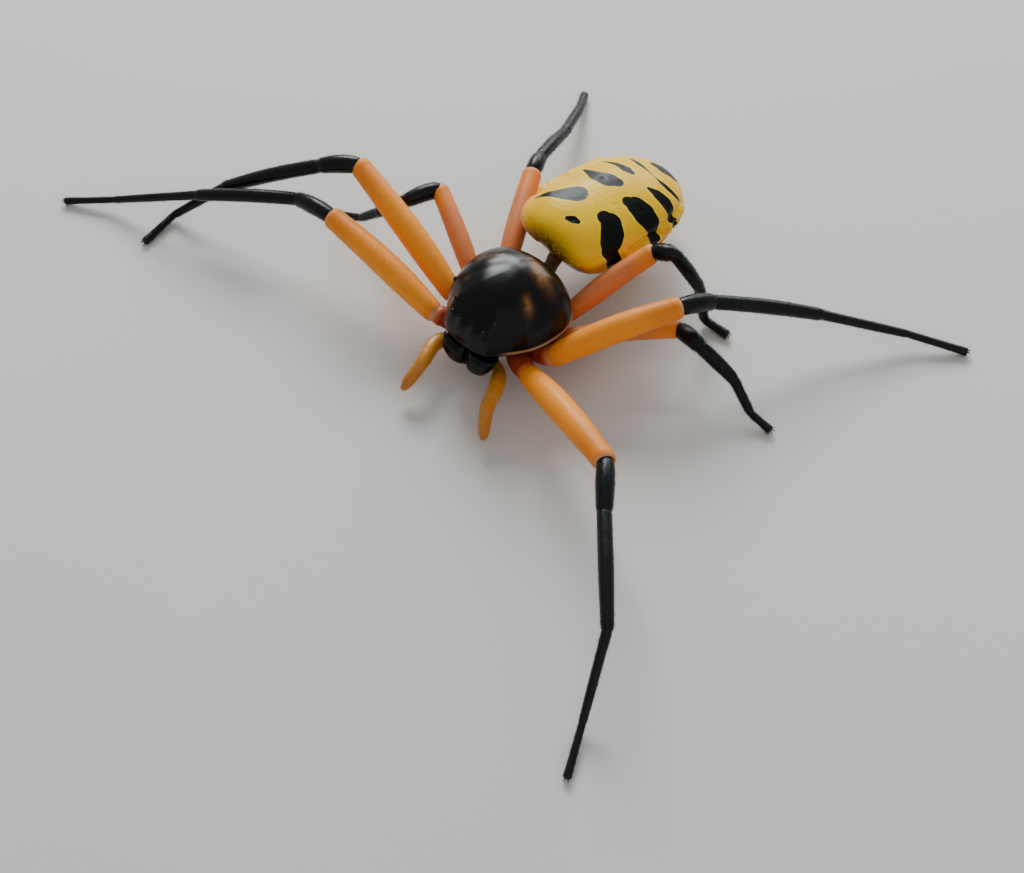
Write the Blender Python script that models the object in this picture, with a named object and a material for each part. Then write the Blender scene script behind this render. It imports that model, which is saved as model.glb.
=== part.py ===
"""A giant crab spider at its life size, standing still on the floor.

The spider faces -Y, its left side is +X and the floor is the plane z = 0.
Sizes below are in millimetres, and MM turns them into metres.
"""
import math

import bmesh
import bpy
import numpy as np
from mathutils import Vector

MM = 0.001
JOINT_GAP = 0.16
FLOOR = 0.0
# A bar's end leans over to the plane it meets within this many radii of its end.
LEAN_REACH = 2.2
# The most that a sharp bend may lengthen the gap along a bar, as the least cosine used.
SHARPEST_BEND = 0.55
SHARP_EDGE = 50

# Carapace: the domed shield over the front half of the body.
CARAPACE_HALF_WIDTH = 3.4
CARAPACE_MIDDLE = 0.95
CARAPACE_FRONT = 4.2
CARAPACE_BACK = 2.5
CARAPACE_FRONT_EDGE = 1.45
CARAPACE_RIM_HEIGHT = 3.3
CARAPACE_RIM_THICKNESS = 0.3
CARAPACE_DOME = 2.6
CARAPACE_TOP_Y = 0.95
CARAPACE_SIDES = 44
CARAPACE_RINGS = 8
# How square the outline's rear half is, below 1 for fuller corners, and how its front draws in.
CARAPACE_REAR_SQUARENESS = (0.9, 0.92)
CARAPACE_FRONT_SQUARENESS = (2.8, 0.8)
CARAPACE_FRONT_EDGE_SHARE = 0.4
CARAPACE_DOME_FLATNESS = 2.4
# The carapace and the jaws are turned a little to the spider's right, about this place.
CARAPACE_TURN = -3.6
JAW_TURN = 0
HEAD_PIVOT = (0.0, 0.7)
EYE_SIDES = 8
EYE_RINGS = 6
# The left eye of each pair: its place to the left and rear in plan, and its radius.
EYES = (
    ("front_middle", 0.45, -2.85, 0.14),
    ("front_side", 1.15, -2.7, 0.18),
    ("rear_middle", 1.42, -2.13, 0.14),
    ("rear_side", 2.62, -0.95, 0.17),
)

# Abdomen: a flattened egg with a blunt front, swung a little to the spider's left.
ABDOMEN_LENGTH = 9.92
ABDOMEN_WIDTH = 7.1
ABDOMEN_HEIGHT = 4.4
ABDOMEN_WIDEST = 0.5
ABDOMEN_FRONT_BLUNTNESS = 3.2
ABDOMEN_REAR_BLUNTNESS = 2.15
ABDOMEN_SWING = 8.8
ABDOMEN_PITCH = -6.9
ABDOMEN_FRONT = (-0.8, 4.3, 4.3)
# How far back the abdomen's front is tucked in below, and how soon that fades along it.
ABDOMEN_TUCK = 0.9
ABDOMEN_TUCK_FADE = 3
ABDOMEN_SIDES = 32
ABDOMEN_RINGS = 15

# Spinnerets: the hub's place along the abdomen and below its axis, its three radii, its
# slope, and each spigot's place across and up, with the spigots' lengths and radii.
SPINNERET_PLACE = 0.965
SPINNERET_DROP = 0.95
SPINNERET_SLOPE = 0.45
HUB_STEPS = (0.0, 0.15, 0.3)
HUB_RADII = (0.55, 0.6, 0.5)
SPIGOTS = ((-0.24, 0.18), (0.24, 0.18), (-0.2, -0.2), (0.2, -0.2))
SPIGOT_ROOT = 0.1
SPIGOT_FLARE = 0.6
SPIGOT_STEPS = (0.0, 0.45, 0.8, 0.95)
SPIGOT_RADII = (0.26, 0.25, 0.19, 0.09)

# Sternum, mouthparts and waist.
STERNUM_HALF_WIDTH = 1.15
STERNUM_FRONT = -1.6
STERNUM_BACK = 2.4
STERNUM_BOTTOM = 0.95
STERNUM_SIDES = 20
STERNUM_TAPER = 0.16
# Heights above the sternum's bottom, and the share of its full size there.
STERNUM_LEVELS = ((0.0, 0.62), (0.12, 0.85), (0.35, 0.97), (0.65, 0.92))
# The lip and the left one of the two lobes beside it: start, end and radius.
LIP = ((0.0, -1.45, 1.35), (0.0, -1.95, 1.3), 0.3)
LOBE = ((0.42, -1.3, 1.6), (0.5, -1.8, 1.6), 0.33)
LUMP_RINGS = 7
LUMP_SIDES = 10
CHELICERA_WIDTH = 1.76
CHELICERA_TOP = 2.84
CHELICERA_BOTTOM = 1.4
CHELICERA_REACH = 2.74
CHELICERA_SIDES = 12
CHELICERA_SQUARENESS = 0.8
CHELICERA_LOW_X = 0.58
# Down the jaw base: place, shares of its width and depth, and how far it stands forward.
CHELICERA_RINGS = (
    (0.0, 1.0, 0.95, 0.0),
    (0.2, 1.0, 1.1, 0.1),
    (0.45, 0.95, 1.15, 0.2),
    (0.7, 0.82, 1.05, 0.2),
    (0.9, 0.66, 0.85, 0.1),
    (1.0, 0.45, 0.55, 0.0),
)
# The left fang from its root to its tip, to the side of the jaw's lower end and above it.
FANG = ((0.16, 0.2), (0.1, -0.05), (-0.1, -0.22), (-0.32, -0.24))
FANG_RADII = (0.2, 0.2, 0.14, 0.05)
SMALL_SIDES = 8
PEDICEL_RADIUS = 0.45
PEDICEL_SHAPE = (1.1, 0.9, 0.9, 1.0)
PEDICEL_START_HEIGHT = 2.2
PEDICEL_END = (-0.4, 4.8, 3.05)

# Legs: lengths of femur, patella, tibia, metatarsus and tarsus for each pair.
LEG_PARTS = ("femur", "patella", "tibia", "metatarsus", "tarsus")
LEG_LENGTHS = {
    1: (8.8, 2.9, 6.0, 5.2, 3.0),
    2: (8.0, 2.3, 6.3, 5.0, 3.2),
    3: (6.3, 1.9, 2.7, 1.8, 1.5),
    4: (5.6, 1.4, 3.4, 2.9, 1.9),
}
# Radii at the near end, at the thickest place and at the far end of each length.
LEG_RADII = {
    "coxa": (0.36, 0.62, 0.50),
    "patella": (0.49, 0.54, 0.45),
    "tibia": (0.43, 0.44, 0.37),
    "metatarsus": (0.32, 0.29, 0.25),
    "tarsus": (0.25, 0.25, 0.26),
}
LEG_THICKNESS = {1: 1.0, 2: 1.06, 3: 0.97, 4: 0.97}
FOOT_THICKNESS = {1: 1.0, 2: 1.08, 3: 1.08, 4: 1.2}
FEMUR_RADII = {1: (0.58, 0.76, 0.62), 2: (0.6, 0.76, 0.6), 3: (0.45, 0.57, 0.5), 4: (0.47, 0.63, 0.55)}
LEG_BOWS = {"femur": 0.03, "patella": 0.05, "tibia": 0.02}
LEG_SIDES = 12
LEG_RINGS = 8
SHORT_RINGS = 7
# Where along a length it is thickest.
COXA_BELLY = 0.6
LEG_BELLY = 0.4
FOOT_HEIGHT = 0.2
# The last three radii of a tarsus, as shares of its far radius.
FOOT_TIP = (1.05, 0.92, 0.45)

# Where each femur starts beside the body, as left, rear and height.
LEG_BASES = {
    1: (3.35, -1.95, 2.25),
    2: (3.55, -0.2, 2.25),
    3: (3.05, 1.2, 2.2),
    4: (2.3, 2.7, 2.25),
}
# Where each coxa starts at the sternum's edge.
COXA_ROOTS = {
    1: (1.1, -0.78, 1.6),
    2: (1.3, -0.05, 1.55),
    3: (1.3, 0.9, 1.5),
    4: (1.05, 1.8, 1.55),
}
# The pose of each leg's five lengths: a heading, where 0 is the spider's left and 90 its
# rear, a climb above the floor's plane, and a stretch on the pair's length. The tarsus has
# no climb, because it drops to the floor.
LEG_POSES = {
    ("left", 1): {
        "heading": (-23, -53, -50.4, -69.9, -66),
        "climb": (15, -5, -4, -44.5),
        "stretch": (0.99, 0.99, 1.07, 0.913, 0.97),
    },
    ("right", 1): {
        "heading": (176, 179, 208, 204, 214),
        "climb": (12, -9, -9, -19),
        "stretch": (0.96, 0.99, 1.04, 1.15, 1.06),
    },
    ("left", 2): {
        "heading": (52, 68, 46, 37, 26),
        "climb": (19, -19, -16, -15),
        "stretch": (0.93, 0.99, 1.03, 1.04, 1.1),
    },
    ("right", 2): {
        "heading": (168, 210, 212, 223, 274),
        "climb": (20, -11, -23, -33),
        "stretch": (1.17, 1.02, 1.03, 0.78, 0.82),
    },
    ("left", 3): {
        "heading": (42.8, -16, 4.6, -18.4, 0),
        "climb": (3.2, 10, -28, -32.8),
        "stretch": (1.03, 1.0, 0.94, 1.13, 1.0),
    },
    ("right", 3): {
        "heading": (150.5, 241.2, 193, 188, 185),
        "climb": (16.4, -5.6, -43, -41),
        "stretch": (1.01, 1.09, 0.99, 0.99, 0.99),
    },
    ("left", 4): {
        "heading": (66, 8, 31, 20, 2),
        "climb": (26, 23, -57, -79),
        "stretch": (1.05, 0.94, 0.87, 0.87, 0.89),
    },
    ("right", 4): {
        "heading": (116.7, 113.1, 106, 113, 119),
        "climb": (9, -6.9, -18, -17),
        "stretch": (1.3, 1.15, 1.2, 1.2, 1.17),
    },
}

# Palps: the two short feelers beside the mouth, as left or right, rear and height.
PALP_PATHS = {
    "left": ((0.95, -1.98, 1.5), (1.65, -2.4, 1.45), (2.4, -3.55, 1.75), (2.85, -4.8, 1.6), (3.66, -6.1, 0.8)),
    "right": ((-0.95, -1.98, 1.5), (-2.0, -2.45, 1.5), (-2.2, -3.35, 1.8), (-1.85, -4.75, 1.75), (-1.95, -6.33, 0.8)),
}
PALP_RADII = (0.26, 0.32, 0.42, 0.43, 0.4, 0.36)
PALP_TIP = (0.32, 0.16)
PALP_RINGS = 16

GLOSS_BLACK = ((0.012, 0.011, 0.012, 1.0), 0.12)
ORANGE = ((0.80, 0.30, 0.06, 1.0), 0.4)
RUST = ((0.62, 0.20, 0.08, 1.0), 0.42)
YELLOW = ((0.86, 0.55, 0.05, 1.0), 0.35)
PALP_YELLOW = ((0.70, 0.42, 0.06, 1.0), 0.42)


def clear_scene():
    """Remove what the new file holds."""
    for item in list(bpy.data.objects):
        bpy.data.objects.remove(item, do_unlink=True)


def finish(name, look):
    """A material of one colour and roughness, named for what it covers."""
    colour, roughness = look
    material = bpy.data.materials.new(name)
    material.use_nodes = True
    shader = material.node_tree.nodes["Principled BSDF"]
    shader.inputs["Base Color"].default_value = colour
    shader.inputs["Roughness"].default_value = roughness
    shader.inputs["Metallic"].default_value = 0.0
    return material


def new_object(name, rings, look, round_start=False, round_end=False):
    """Join a stack of rings of points into one closed body.

    A round end closes on a point at the last ring's middle, and a flat end is one face.
    """
    mesh_tool = bmesh.new()
    loops = [[mesh_tool.verts.new(Vector(point) * MM) for point in ring] for ring in rings]
    for ring, following in zip(loops, loops[1:]):
        for index, corner in enumerate(ring):
            neighbour = (index + 1) % len(ring)
            mesh_tool.faces.new((corner, ring[neighbour], following[neighbour], following[index]))
    for loop, is_round in ((loops[0], round_start), (loops[-1], round_end)):
        if is_round:
            middle = sum((corner.co for corner in loop), Vector()) / len(loop)
            pole = mesh_tool.verts.new(middle)
            for index, corner in enumerate(loop):
                mesh_tool.faces.new((corner, loop[(index + 1) % len(loop)], pole))
        else:
            mesh_tool.faces.new(loop)
    bmesh.ops.triangulate(mesh_tool, faces=mesh_tool.faces[:])
    bmesh.ops.recalc_face_normals(mesh_tool, faces=mesh_tool.faces[:])
    mesh = bpy.data.meshes.new(name)
    mesh_tool.to_mesh(mesh)
    mesh_tool.free()
    mesh.shade_smooth()
    mesh.set_sharp_from_angle(angle=math.radians(SHARP_EDGE))
    mesh.materials.append(finish(name + "_finish", look))
    item = bpy.data.objects.new(name, mesh)
    bpy.context.collection.objects.link(item)
    return item


def direction(heading, climb):
    """The unit vector of a heading and a climb in degrees."""
    turn = math.radians(heading)
    rise = math.radians(climb)
    return Vector((math.cos(turn) * math.cos(rise), math.sin(turn) * math.cos(rise), math.sin(rise)))


def tube(name, points, radii, start_normal, end_normal, look, round_end=False, sides=LEG_SIDES):
    """A round bar along the points, with each end lying in the plane of its normal.

    The rings stand square to the bar and lean over to meet the end planes, so that two
    bars that share a plane meet face to face however sharply they bend.
    """
    points = [Vector(point) for point in points]
    count = len(points)
    distances = [0.0]
    for near, far in zip(points, points[1:]):
        distances.append(distances[-1] + (far - near).length)
    total = distances[-1]
    side = None
    rings = []
    for index, centre in enumerate(points):
        ahead = points[min(index + 1, count - 1)] - points[max(index - 1, 0)]
        along = ahead.normalized()
        if side is None:
            side = along.cross(Vector((0, 0, 1))).normalized()
        side = (side - along * side.dot(along)).normalized()
        up = side.cross(along)
        ring = []
        for step in range(sides):
            angle = 2 * math.pi * step / sides
            offset = (side * math.cos(angle) + up * math.sin(angle)) * radii[index]
            point = centre + offset
            for normal, away in ((start_normal, distances[index]), (end_normal, total - distances[index])):
                if normal is None:
                    continue
                lean = -offset.dot(normal) / along.dot(normal)
                fade = max(0.0, 1.0 - away / (LEAN_REACH * radii[index]))
                point = point + along * lean * fade
            ring.append(point)
        rings.append(ring)
    return new_object(name, rings, look, round_end=round_end)


def swell(near, belly, far, place, count):
    """Radii that rise from the near end to the belly and fall to the far end."""
    values = []
    for step in range(count):
        part = step / (count - 1)
        if part < place:
            share = math.sin(0.5 * math.pi * part / place)
            values.append(near + (belly - near) * share)
        else:
            share = math.sin(0.5 * math.pi * (1 - part) / (1 - place))
            values.append(far + (belly - far) * share)
    return values


def bar_points(start, end, start_normal, end_normal, count, bow):
    """Points from one joint to the next, bowed upwards, clear of both joints by half the gap."""
    along = (end - start).normalized()
    start = start + along * (0.5 * JOINT_GAP / max(SHARPEST_BEND, abs(along.dot(start_normal))))
    if end_normal is not None:
        end = end - along * (0.5 * JOINT_GAP / max(SHARPEST_BEND, abs(along.dot(end_normal))))
    up = Vector((0, 0, 1))
    lift = (up - along * up.dot(along)).normalized() * bow * (end - start).length
    points = []
    for step in range(count):
        part = step / (count - 1)
        points.append(start.lerp(end, part) + lift * math.sin(math.pi * part))
    return points


def mitre(before, after):
    """The normal of the plane that halves the bend between two directions."""
    return (before + after).normalized()


def leg_joints(side, pair):
    """The places of a leg's six joints, from its pose, and the directions between them."""
    mirror = 1 if side == "left" else -1
    root = Vector(COXA_ROOTS[pair])
    root.x *= mirror
    base = Vector(LEG_BASES[pair])
    base.x *= mirror
    pose = LEG_POSES[(side, pair)]
    joints = [root, base]
    for index, length in enumerate(LEG_LENGTHS[pair]):
        length = length * pose["stretch"][index]
        if index < len(pose["climb"]):
            climb = pose["climb"][index]
        else:
            climb = math.degrees(math.asin((FOOT_HEIGHT - joints[-1].z) / length))
        joints.append(joints[-1] + direction(pose["heading"][index], climb) * length)
    return joints


def leg(side, pair):
    """One leg as six nodes from the sternum to the floor."""
    joints = leg_joints(side, pair)
    ways = [(far - near).normalized() for near, far in zip(joints, joints[1:])]
    normals = [ways[0]] + [mitre(before, after) for before, after in zip(ways, ways[1:])]
    for index, part in enumerate(("coxa",) + LEG_PARTS):
        name = "{}_{}_{}".format(part, side, pair)
        if part == "femur":
            near, belly, far = FEMUR_RADII[pair]
        else:
            thickness = (FOOT_THICKNESS if part in ("metatarsus", "tarsus") else LEG_THICKNESS)[pair]
            near, belly, far = (thickness * radius for radius in LEG_RADII[part])
        is_foot = part == "tarsus"
        end_normal = None if is_foot else normals[index + 1]
        is_short = pair > 2 or part in ("coxa", "patella")
        count = SHORT_RINGS if is_short else LEG_RINGS
        bow = LEG_BOWS.get(part, 0.0)
        points = bar_points(joints[index], joints[index + 1], normals[index], end_normal, count, bow)
        radii = swell(near, belly, far, COXA_BELLY if part == "coxa" else LEG_BELLY, count)
        if is_foot:
            radii[-len(FOOT_TIP):] = [far * share for share in FOOT_TIP]
        look = GLOSS_BLACK
        if part == "coxa":
            look = RUST
        if part == "femur":
            look = ORANGE if pair < 3 else RUST
        item = tube(name, points, radii, normals[index], end_normal, look, round_end=is_foot)
        if is_foot:
            flatten_foot(item)


def flatten_foot(item):
    """Press what reaches below the floor up to it, which leaves the foot's small flat."""
    for corner in item.data.vertices:
        corner.co.z = max(corner.co.z, FLOOR)


def carapace_outline():
    """Corners of the carapace seen from above, from the middle of its front round its left.

    The rear half is a superellipse. The front half is one too, set out from a flat front edge.
    """
    corners = []
    for step in range(CARAPACE_SIDES):
        angle = 2 * math.pi * (step + 0.5) / CARAPACE_SIDES
        across = math.sin(angle)
        along = -math.cos(angle)
        if along > 0:
            across_power, along_power = CARAPACE_REAR_SQUARENESS
            x = CARAPACE_HALF_WIDTH * math.copysign(abs(across) ** across_power, across)
            y = CARAPACE_MIDDLE + CARAPACE_BACK * along ** along_power
        else:
            shoulder = CARAPACE_HALF_WIDTH - CARAPACE_FRONT_EDGE
            across_power, along_power = CARAPACE_FRONT_SQUARENESS
            edge = min(1.0, abs(across) / CARAPACE_FRONT_EDGE_SHARE) * CARAPACE_FRONT_EDGE
            x = math.copysign(edge + shoulder * abs(across) ** across_power, across)
            y = CARAPACE_MIDDLE - CARAPACE_FRONT * abs(along) ** along_power
        corners.append((x, y))
    return corners


def dome_height(share):
    """Height of the carapace's back above its rim, at a share of the way from its top to its rim."""
    return CARAPACE_DOME * math.sqrt(max(0.0, 1.0 - share ** CARAPACE_DOME_FLATNESS))


def dome_point(share, x, y):
    """A point of the dome above the outline's corner x, y drawn in to the share."""
    y = y * share + CARAPACE_TOP_Y * (1 - share)
    return Vector((x * share, y, CARAPACE_RIM_HEIGHT + dome_height(share)))


def carapace():
    """The glossy domed shield with its eight eyes raised on the front."""
    outline = carapace_outline()
    rings = []
    for step in range(CARAPACE_RINGS):
        share = math.sin(0.5 * math.pi * (step + 0.55) / (CARAPACE_RINGS - 0.45))
        rings.append([dome_point(share, x, y) for x, y in outline])
    under = CARAPACE_RIM_HEIGHT - CARAPACE_RIM_THICKNESS
    rings.append([Vector((x * 0.985, y * 0.985, under)) for x, y in outline])
    rings.append([Vector((x * 0.5, y * 0.5, under)) for x, y in outline])
    shield = new_object("carapace", rings, GLOSS_BLACK, round_start=True)
    beads = []
    for name, x, y, radius in EYES:
        for mirror in (-1, 1):
            beads.append(eye_bead("{}_{}".format(name, mirror), x * mirror, y, radius, outline))
    fuse(shield, beads)
    turn_head(shield, CARAPACE_TURN)


def turn_head(item, degrees):
    """Turn a finished piece of the head about the upright line through the head's pivot."""
    turn = math.radians(degrees)
    pivot_x, pivot_y = (MM * part for part in HEAD_PIVOT)
    for corner in item.data.vertices:
        x, y = corner.co.x - pivot_x, corner.co.y - pivot_y
        corner.co.x = pivot_x + x * math.cos(turn) - y * math.sin(turn)
        corner.co.y = pivot_y + x * math.sin(turn) + y * math.cos(turn)


def share_of_dome(x, y, outline):
    """How far down the dome a place in plan lies, from 0 at its top to 1 at its rim.

    Every level of the dome is the outline drawn in towards the top, so the share is the
    place's distance from the top against the outline's distance in the same direction.
    """
    corners = np.array(outline) - (0.0, CARAPACE_TOP_Y)
    angles = np.arctan2(corners[:, 1], corners[:, 0])
    distances = np.hypot(corners[:, 0], corners[:, 1])
    angle = math.atan2(y - CARAPACE_TOP_Y, x)
    reach = np.interp(angle, angles[np.argsort(angles)], distances[np.argsort(angles)], period=2 * math.pi)
    return math.hypot(x, y - CARAPACE_TOP_Y) / reach


def eye_bead(name, x, y, radius, outline):
    """A round bead whose middle lies on the carapace's front."""
    height = CARAPACE_RIM_HEIGHT + dome_height(share_of_dome(x, y, outline))
    mesh_tool = bmesh.new()
    bmesh.ops.create_uvsphere(mesh_tool, u_segments=EYE_SIDES, v_segments=EYE_RINGS, radius=radius * MM)
    bmesh.ops.translate(mesh_tool, verts=mesh_tool.verts[:], vec=Vector((x, y, height)) * MM)
    mesh = bpy.data.meshes.new(name)
    mesh_tool.to_mesh(mesh)
    mesh_tool.free()
    bead = bpy.data.objects.new(name, mesh)
    bpy.context.collection.objects.link(bead)
    return bead


def fuse(body, pieces):
    """Join the pieces to the body in one Boolean union and keep its one closed surface."""
    group = bpy.data.collections.new(body.name + "_pieces")
    bpy.context.scene.collection.children.link(group)
    for piece in pieces:
        bpy.context.collection.objects.unlink(piece)
        group.objects.link(piece)
    union = body.modifiers.new("union", "BOOLEAN")
    union.operation = "UNION"
    union.solver = "EXACT"
    union.operand_type = "COLLECTION"
    union.collection = group
    bpy.context.view_layer.update()
    joined = bpy.data.meshes.new_from_object(body.evaluated_get(bpy.context.evaluated_depsgraph_get()))
    body.modifiers.remove(union)
    body.data = joined
    for piece in pieces:
        bpy.data.objects.remove(piece, do_unlink=True)
    bpy.data.collections.remove(group)
    keep_largest(body)


def keep_largest(body):
    """Drop every surface but the one with the most faces, and triangulate it."""
    mesh_tool = bmesh.new()
    mesh_tool.from_mesh(body.data)
    bmesh.ops.triangulate(mesh_tool, faces=mesh_tool.faces[:])
    left = set(mesh_tool.faces)
    shells = []
    while left:
        stack = [left.pop()]
        shell = []
        while stack:
            face = stack.pop()
            shell.append(face)
            for edge in face.edges:
                for other in edge.link_faces:
                    if other in left:
                        left.remove(other)
                        stack.append(other)
        shells.append(shell)
    shells.sort(key=len)
    loose = [face for shell in shells[:-1] for face in shell]
    if loose:
        bmesh.ops.delete(mesh_tool, geom=loose, context="FACES")
    mesh_tool.to_mesh(body.data)
    mesh_tool.free()


def abdomen_axis():
    """The directions of the abdomen's length, its left and its back."""
    along = direction(90 - ABDOMEN_SWING, ABDOMEN_PITCH)
    left = direction(-ABDOMEN_SWING, 0)
    return along, left, left.cross(along)


def abdomen_fullness(place):
    """Share of the full width at a place from 0, the front, to 1, the rear: two superellipses."""
    if place < ABDOMEN_WIDEST:
        power = ABDOMEN_FRONT_BLUNTNESS
        away = 1 - place / ABDOMEN_WIDEST
    else:
        power = ABDOMEN_REAR_BLUNTNESS
        away = (place - ABDOMEN_WIDEST) / (1 - ABDOMEN_WIDEST)
    return (1 - away ** power) ** (1 / power)


def abdomen():
    """The yellow hind body, a little flatter below than above."""
    along, left, up = abdomen_axis()
    rings = []
    for step in range(1, ABDOMEN_RINGS):
        place = 0.5 * (1 - math.cos(math.pi * step / ABDOMEN_RINGS))
        fullness = abdomen_fullness(place)
        centre = Vector(ABDOMEN_FRONT) + along * ABDOMEN_LENGTH * place
        ring = []
        for corner in range(ABDOMEN_SIDES):
            angle = 2 * math.pi * corner / ABDOMEN_SIDES
            sideways = left * math.cos(angle) * 0.5 * ABDOMEN_WIDTH * fullness
            upwards = up * math.sin(angle) * 0.5 * ABDOMEN_HEIGHT * fullness
            tuck = ABDOMEN_TUCK * max(0.0, -math.sin(angle)) * (1 - place) ** ABDOMEN_TUCK_FADE
            ring.append(centre + sideways + upwards + along * tuck)
        rings.append(ring)
    new_object("abdomen", rings, YELLOW, round_start=True, round_end=True)


def spinnerets():
    """Four short tapering spigots in a cluster behind and below the abdomen."""
    axis, left, up = abdomen_axis()
    root = Vector(ABDOMEN_FRONT) + axis * (ABDOMEN_LENGTH * SPINNERET_PLACE) - up * SPINNERET_DROP
    way = (axis - Vector((0, 0, SPINNERET_SLOPE))).normalized()
    path = [root + way * along for along in HUB_STEPS]
    hub = tube("spinnerets", path, HUB_RADII, way, None, YELLOW, True)
    spigots = []
    for index, (across, lift) in enumerate(SPIGOTS):
        start = root + left * across + Vector((0, 0, lift)) + way * SPIGOT_ROOT
        flare = (way + left * across * SPIGOT_FLARE).normalized()
        path = [start + flare * along for along in SPIGOT_STEPS]
        name = "spigot_{}".format(index)
        spigots.append(tube(name, path, SPIGOT_RADII, way, None, YELLOW, True, SMALL_SIDES))
    fuse(hub, spigots)


def sternum():
    """The breastplate, with the flesh above it that carries the coxae."""
    top = CARAPACE_RIM_HEIGHT - CARAPACE_RIM_THICKNESS - JOINT_GAP
    levels = [(STERNUM_BOTTOM + height, scale) for height, scale in STERNUM_LEVELS]
    levels.append((top, levels[-1][1]))
    middle = 0.5 * (STERNUM_FRONT + STERNUM_BACK)
    half_length = 0.5 * (STERNUM_BACK - STERNUM_FRONT)
    rings = []
    for height, scale in levels:
        ring = []
        for step in range(STERNUM_SIDES):
            angle = 2 * math.pi * step / STERNUM_SIDES
            y = math.sin(angle)
            narrowing = 1.0 - STERNUM_TAPER * y
            x = math.cos(angle) * narrowing
            ring.append((x * STERNUM_HALF_WIDTH * scale, middle + y * half_length * scale, height))
        rings.append(ring)
    plate = new_object("sternum", rings, RUST, round_start=True)
    lumps = [bar_lump("lip", *LIP)]
    start, end, radius = LOBE
    for sign in (-1, 1):
        mirrored = [Vector((sign * place[0], place[1], place[2])) for place in (start, end)]
        lumps.append(bar_lump("lobe_{}".format(sign), *mirrored, radius))
    fuse(plate, lumps)


def bar_lump(name, start, end, radius):
    """A short thick bar with round ends, to be fused into another body."""
    start = Vector(start)
    end = Vector(end)
    along = (end - start).normalized()
    length = (end - start).length
    points = []
    radii = []
    for step in range(LUMP_RINGS):
        angle = math.pi * (step + 0.5) / LUMP_RINGS
        points.append(start + along * length * 0.5 * (1 - math.cos(angle)))
        radii.append(radius * math.sqrt(math.sin(angle)))
    return tube(name, points, radii, None, None, RUST, round_end=True, sides=LUMP_SIDES)


def chelicera(side):
    """One stout jaw base under the carapace's front edge, with its short fang folded inwards."""
    mirror = 1 if side == "left" else -1
    top_centre = Vector((mirror * 0.5 * (CHELICERA_WIDTH + JOINT_GAP), -CHELICERA_REACH, CHELICERA_TOP))
    low_centre = Vector((mirror * CHELICERA_LOW_X, -CHELICERA_REACH - 0.1, CHELICERA_BOTTOM))
    rings = []
    for share, width, depth, forward in CHELICERA_RINGS:
        centre = top_centre.lerp(low_centre, share) - Vector((0, forward, 0))
        ring = []
        for step in range(CHELICERA_SIDES):
            angle = 2 * math.pi * step / CHELICERA_SIDES
            across = math.copysign(abs(math.cos(angle)) ** CHELICERA_SQUARENESS, math.cos(angle))
            along = math.copysign(abs(math.sin(angle)) ** CHELICERA_SQUARENESS, math.sin(angle))
            away = mirror * (centre.x + across * 0.5 * CHELICERA_WIDTH * width)
            x = mirror * max(away, 0.5 * JOINT_GAP)
            ring.append((x, centre.y + along * 0.55 * depth, centre.z))
        rings.append(ring)
    body = new_object("chelicera_" + side, rings, GLOSS_BLACK, round_end=True)
    path = [low_centre + Vector((mirror * away, -0.02, drop)) for away, drop in FANG]
    fang = tube("fang_" + side, path, FANG_RADII, None, None, GLOSS_BLACK, True, SMALL_SIDES)
    fuse(body, [fang])
    turn_head(body, JAW_TURN)


def smooth_path(corners, count):
    """Points along a smooth curve through the corners."""
    corners = [Vector(corner) for corner in corners]
    padded = [corners[0] * 2 - corners[1]] + corners + [corners[-1] * 2 - corners[-2]]
    points = []
    for step in range(count):
        place = step / (count - 1) * (len(corners) - 1)
        index = min(int(place), len(corners) - 2)
        part = place - index
        before, near, far, after = padded[index:index + 4]
        points.append(0.5 * (
            2 * near + (far - before) * part
            + (2 * before - 5 * near + 4 * far - after) * part ** 2
            + (3 * near - before - 3 * far + after) * part ** 3
        ))
    return points


def palp(side):
    """One feeler, bent down to a blunt tip beside the jaws."""
    points = smooth_path(PALP_PATHS[side], PALP_RINGS)
    places = np.linspace(0, 1, PALP_RINGS)
    radii = list(np.interp(places, np.linspace(0, 1, len(PALP_RADII)), PALP_RADII))
    radii[-len(PALP_TIP):] = PALP_TIP
    start_normal = (points[1] - points[0]).normalized()
    tube("palp_" + side, points, radii, start_normal, None, PALP_YELLOW, round_end=True)


def pedicel():
    """The thin waist between the two halves of the body."""
    start = Vector((0, STERNUM_BACK + JOINT_GAP, PEDICEL_START_HEIGHT))
    end = Vector(PEDICEL_END)
    count = len(PEDICEL_SHAPE)
    points = [start.lerp(end, step / (count - 1)) for step in range(count)]
    radii = [PEDICEL_RADIUS * share for share in PEDICEL_SHAPE]
    tube("pedicel", points, radii, Vector((0, 1, 0)), (end - start).normalized(), RUST)


def centre_on_floor():
    """Slide the whole spider so that the middle of its box stands over the origin."""
    items = [item for item in bpy.data.objects if item.type == "MESH"]
    corners = np.array([corner.co[:2] for item in items for corner in item.data.vertices])
    middle = 0.5 * (corners.min(axis=0) + corners.max(axis=0))
    for item in items:
        item.location = (-middle[0], -middle[1], 0.0)


def main():
    clear_scene()
    carapace()
    sternum()
    pedicel()
    abdomen()
    spinnerets()
    for side in ("left", "right"):
        chelicera(side)
        palp(side)
        for pair in LEG_LENGTHS:
            leg(side, pair)
    centre_on_floor()


main()
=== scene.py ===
"""A giant crab spider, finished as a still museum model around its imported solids.

Shapes are worked out in millimetres in the spider's own frame: it faces -Y, its left side is
+X and the floor is z = 0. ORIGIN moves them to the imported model's frame, and MM scales them.
"""
import math

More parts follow.
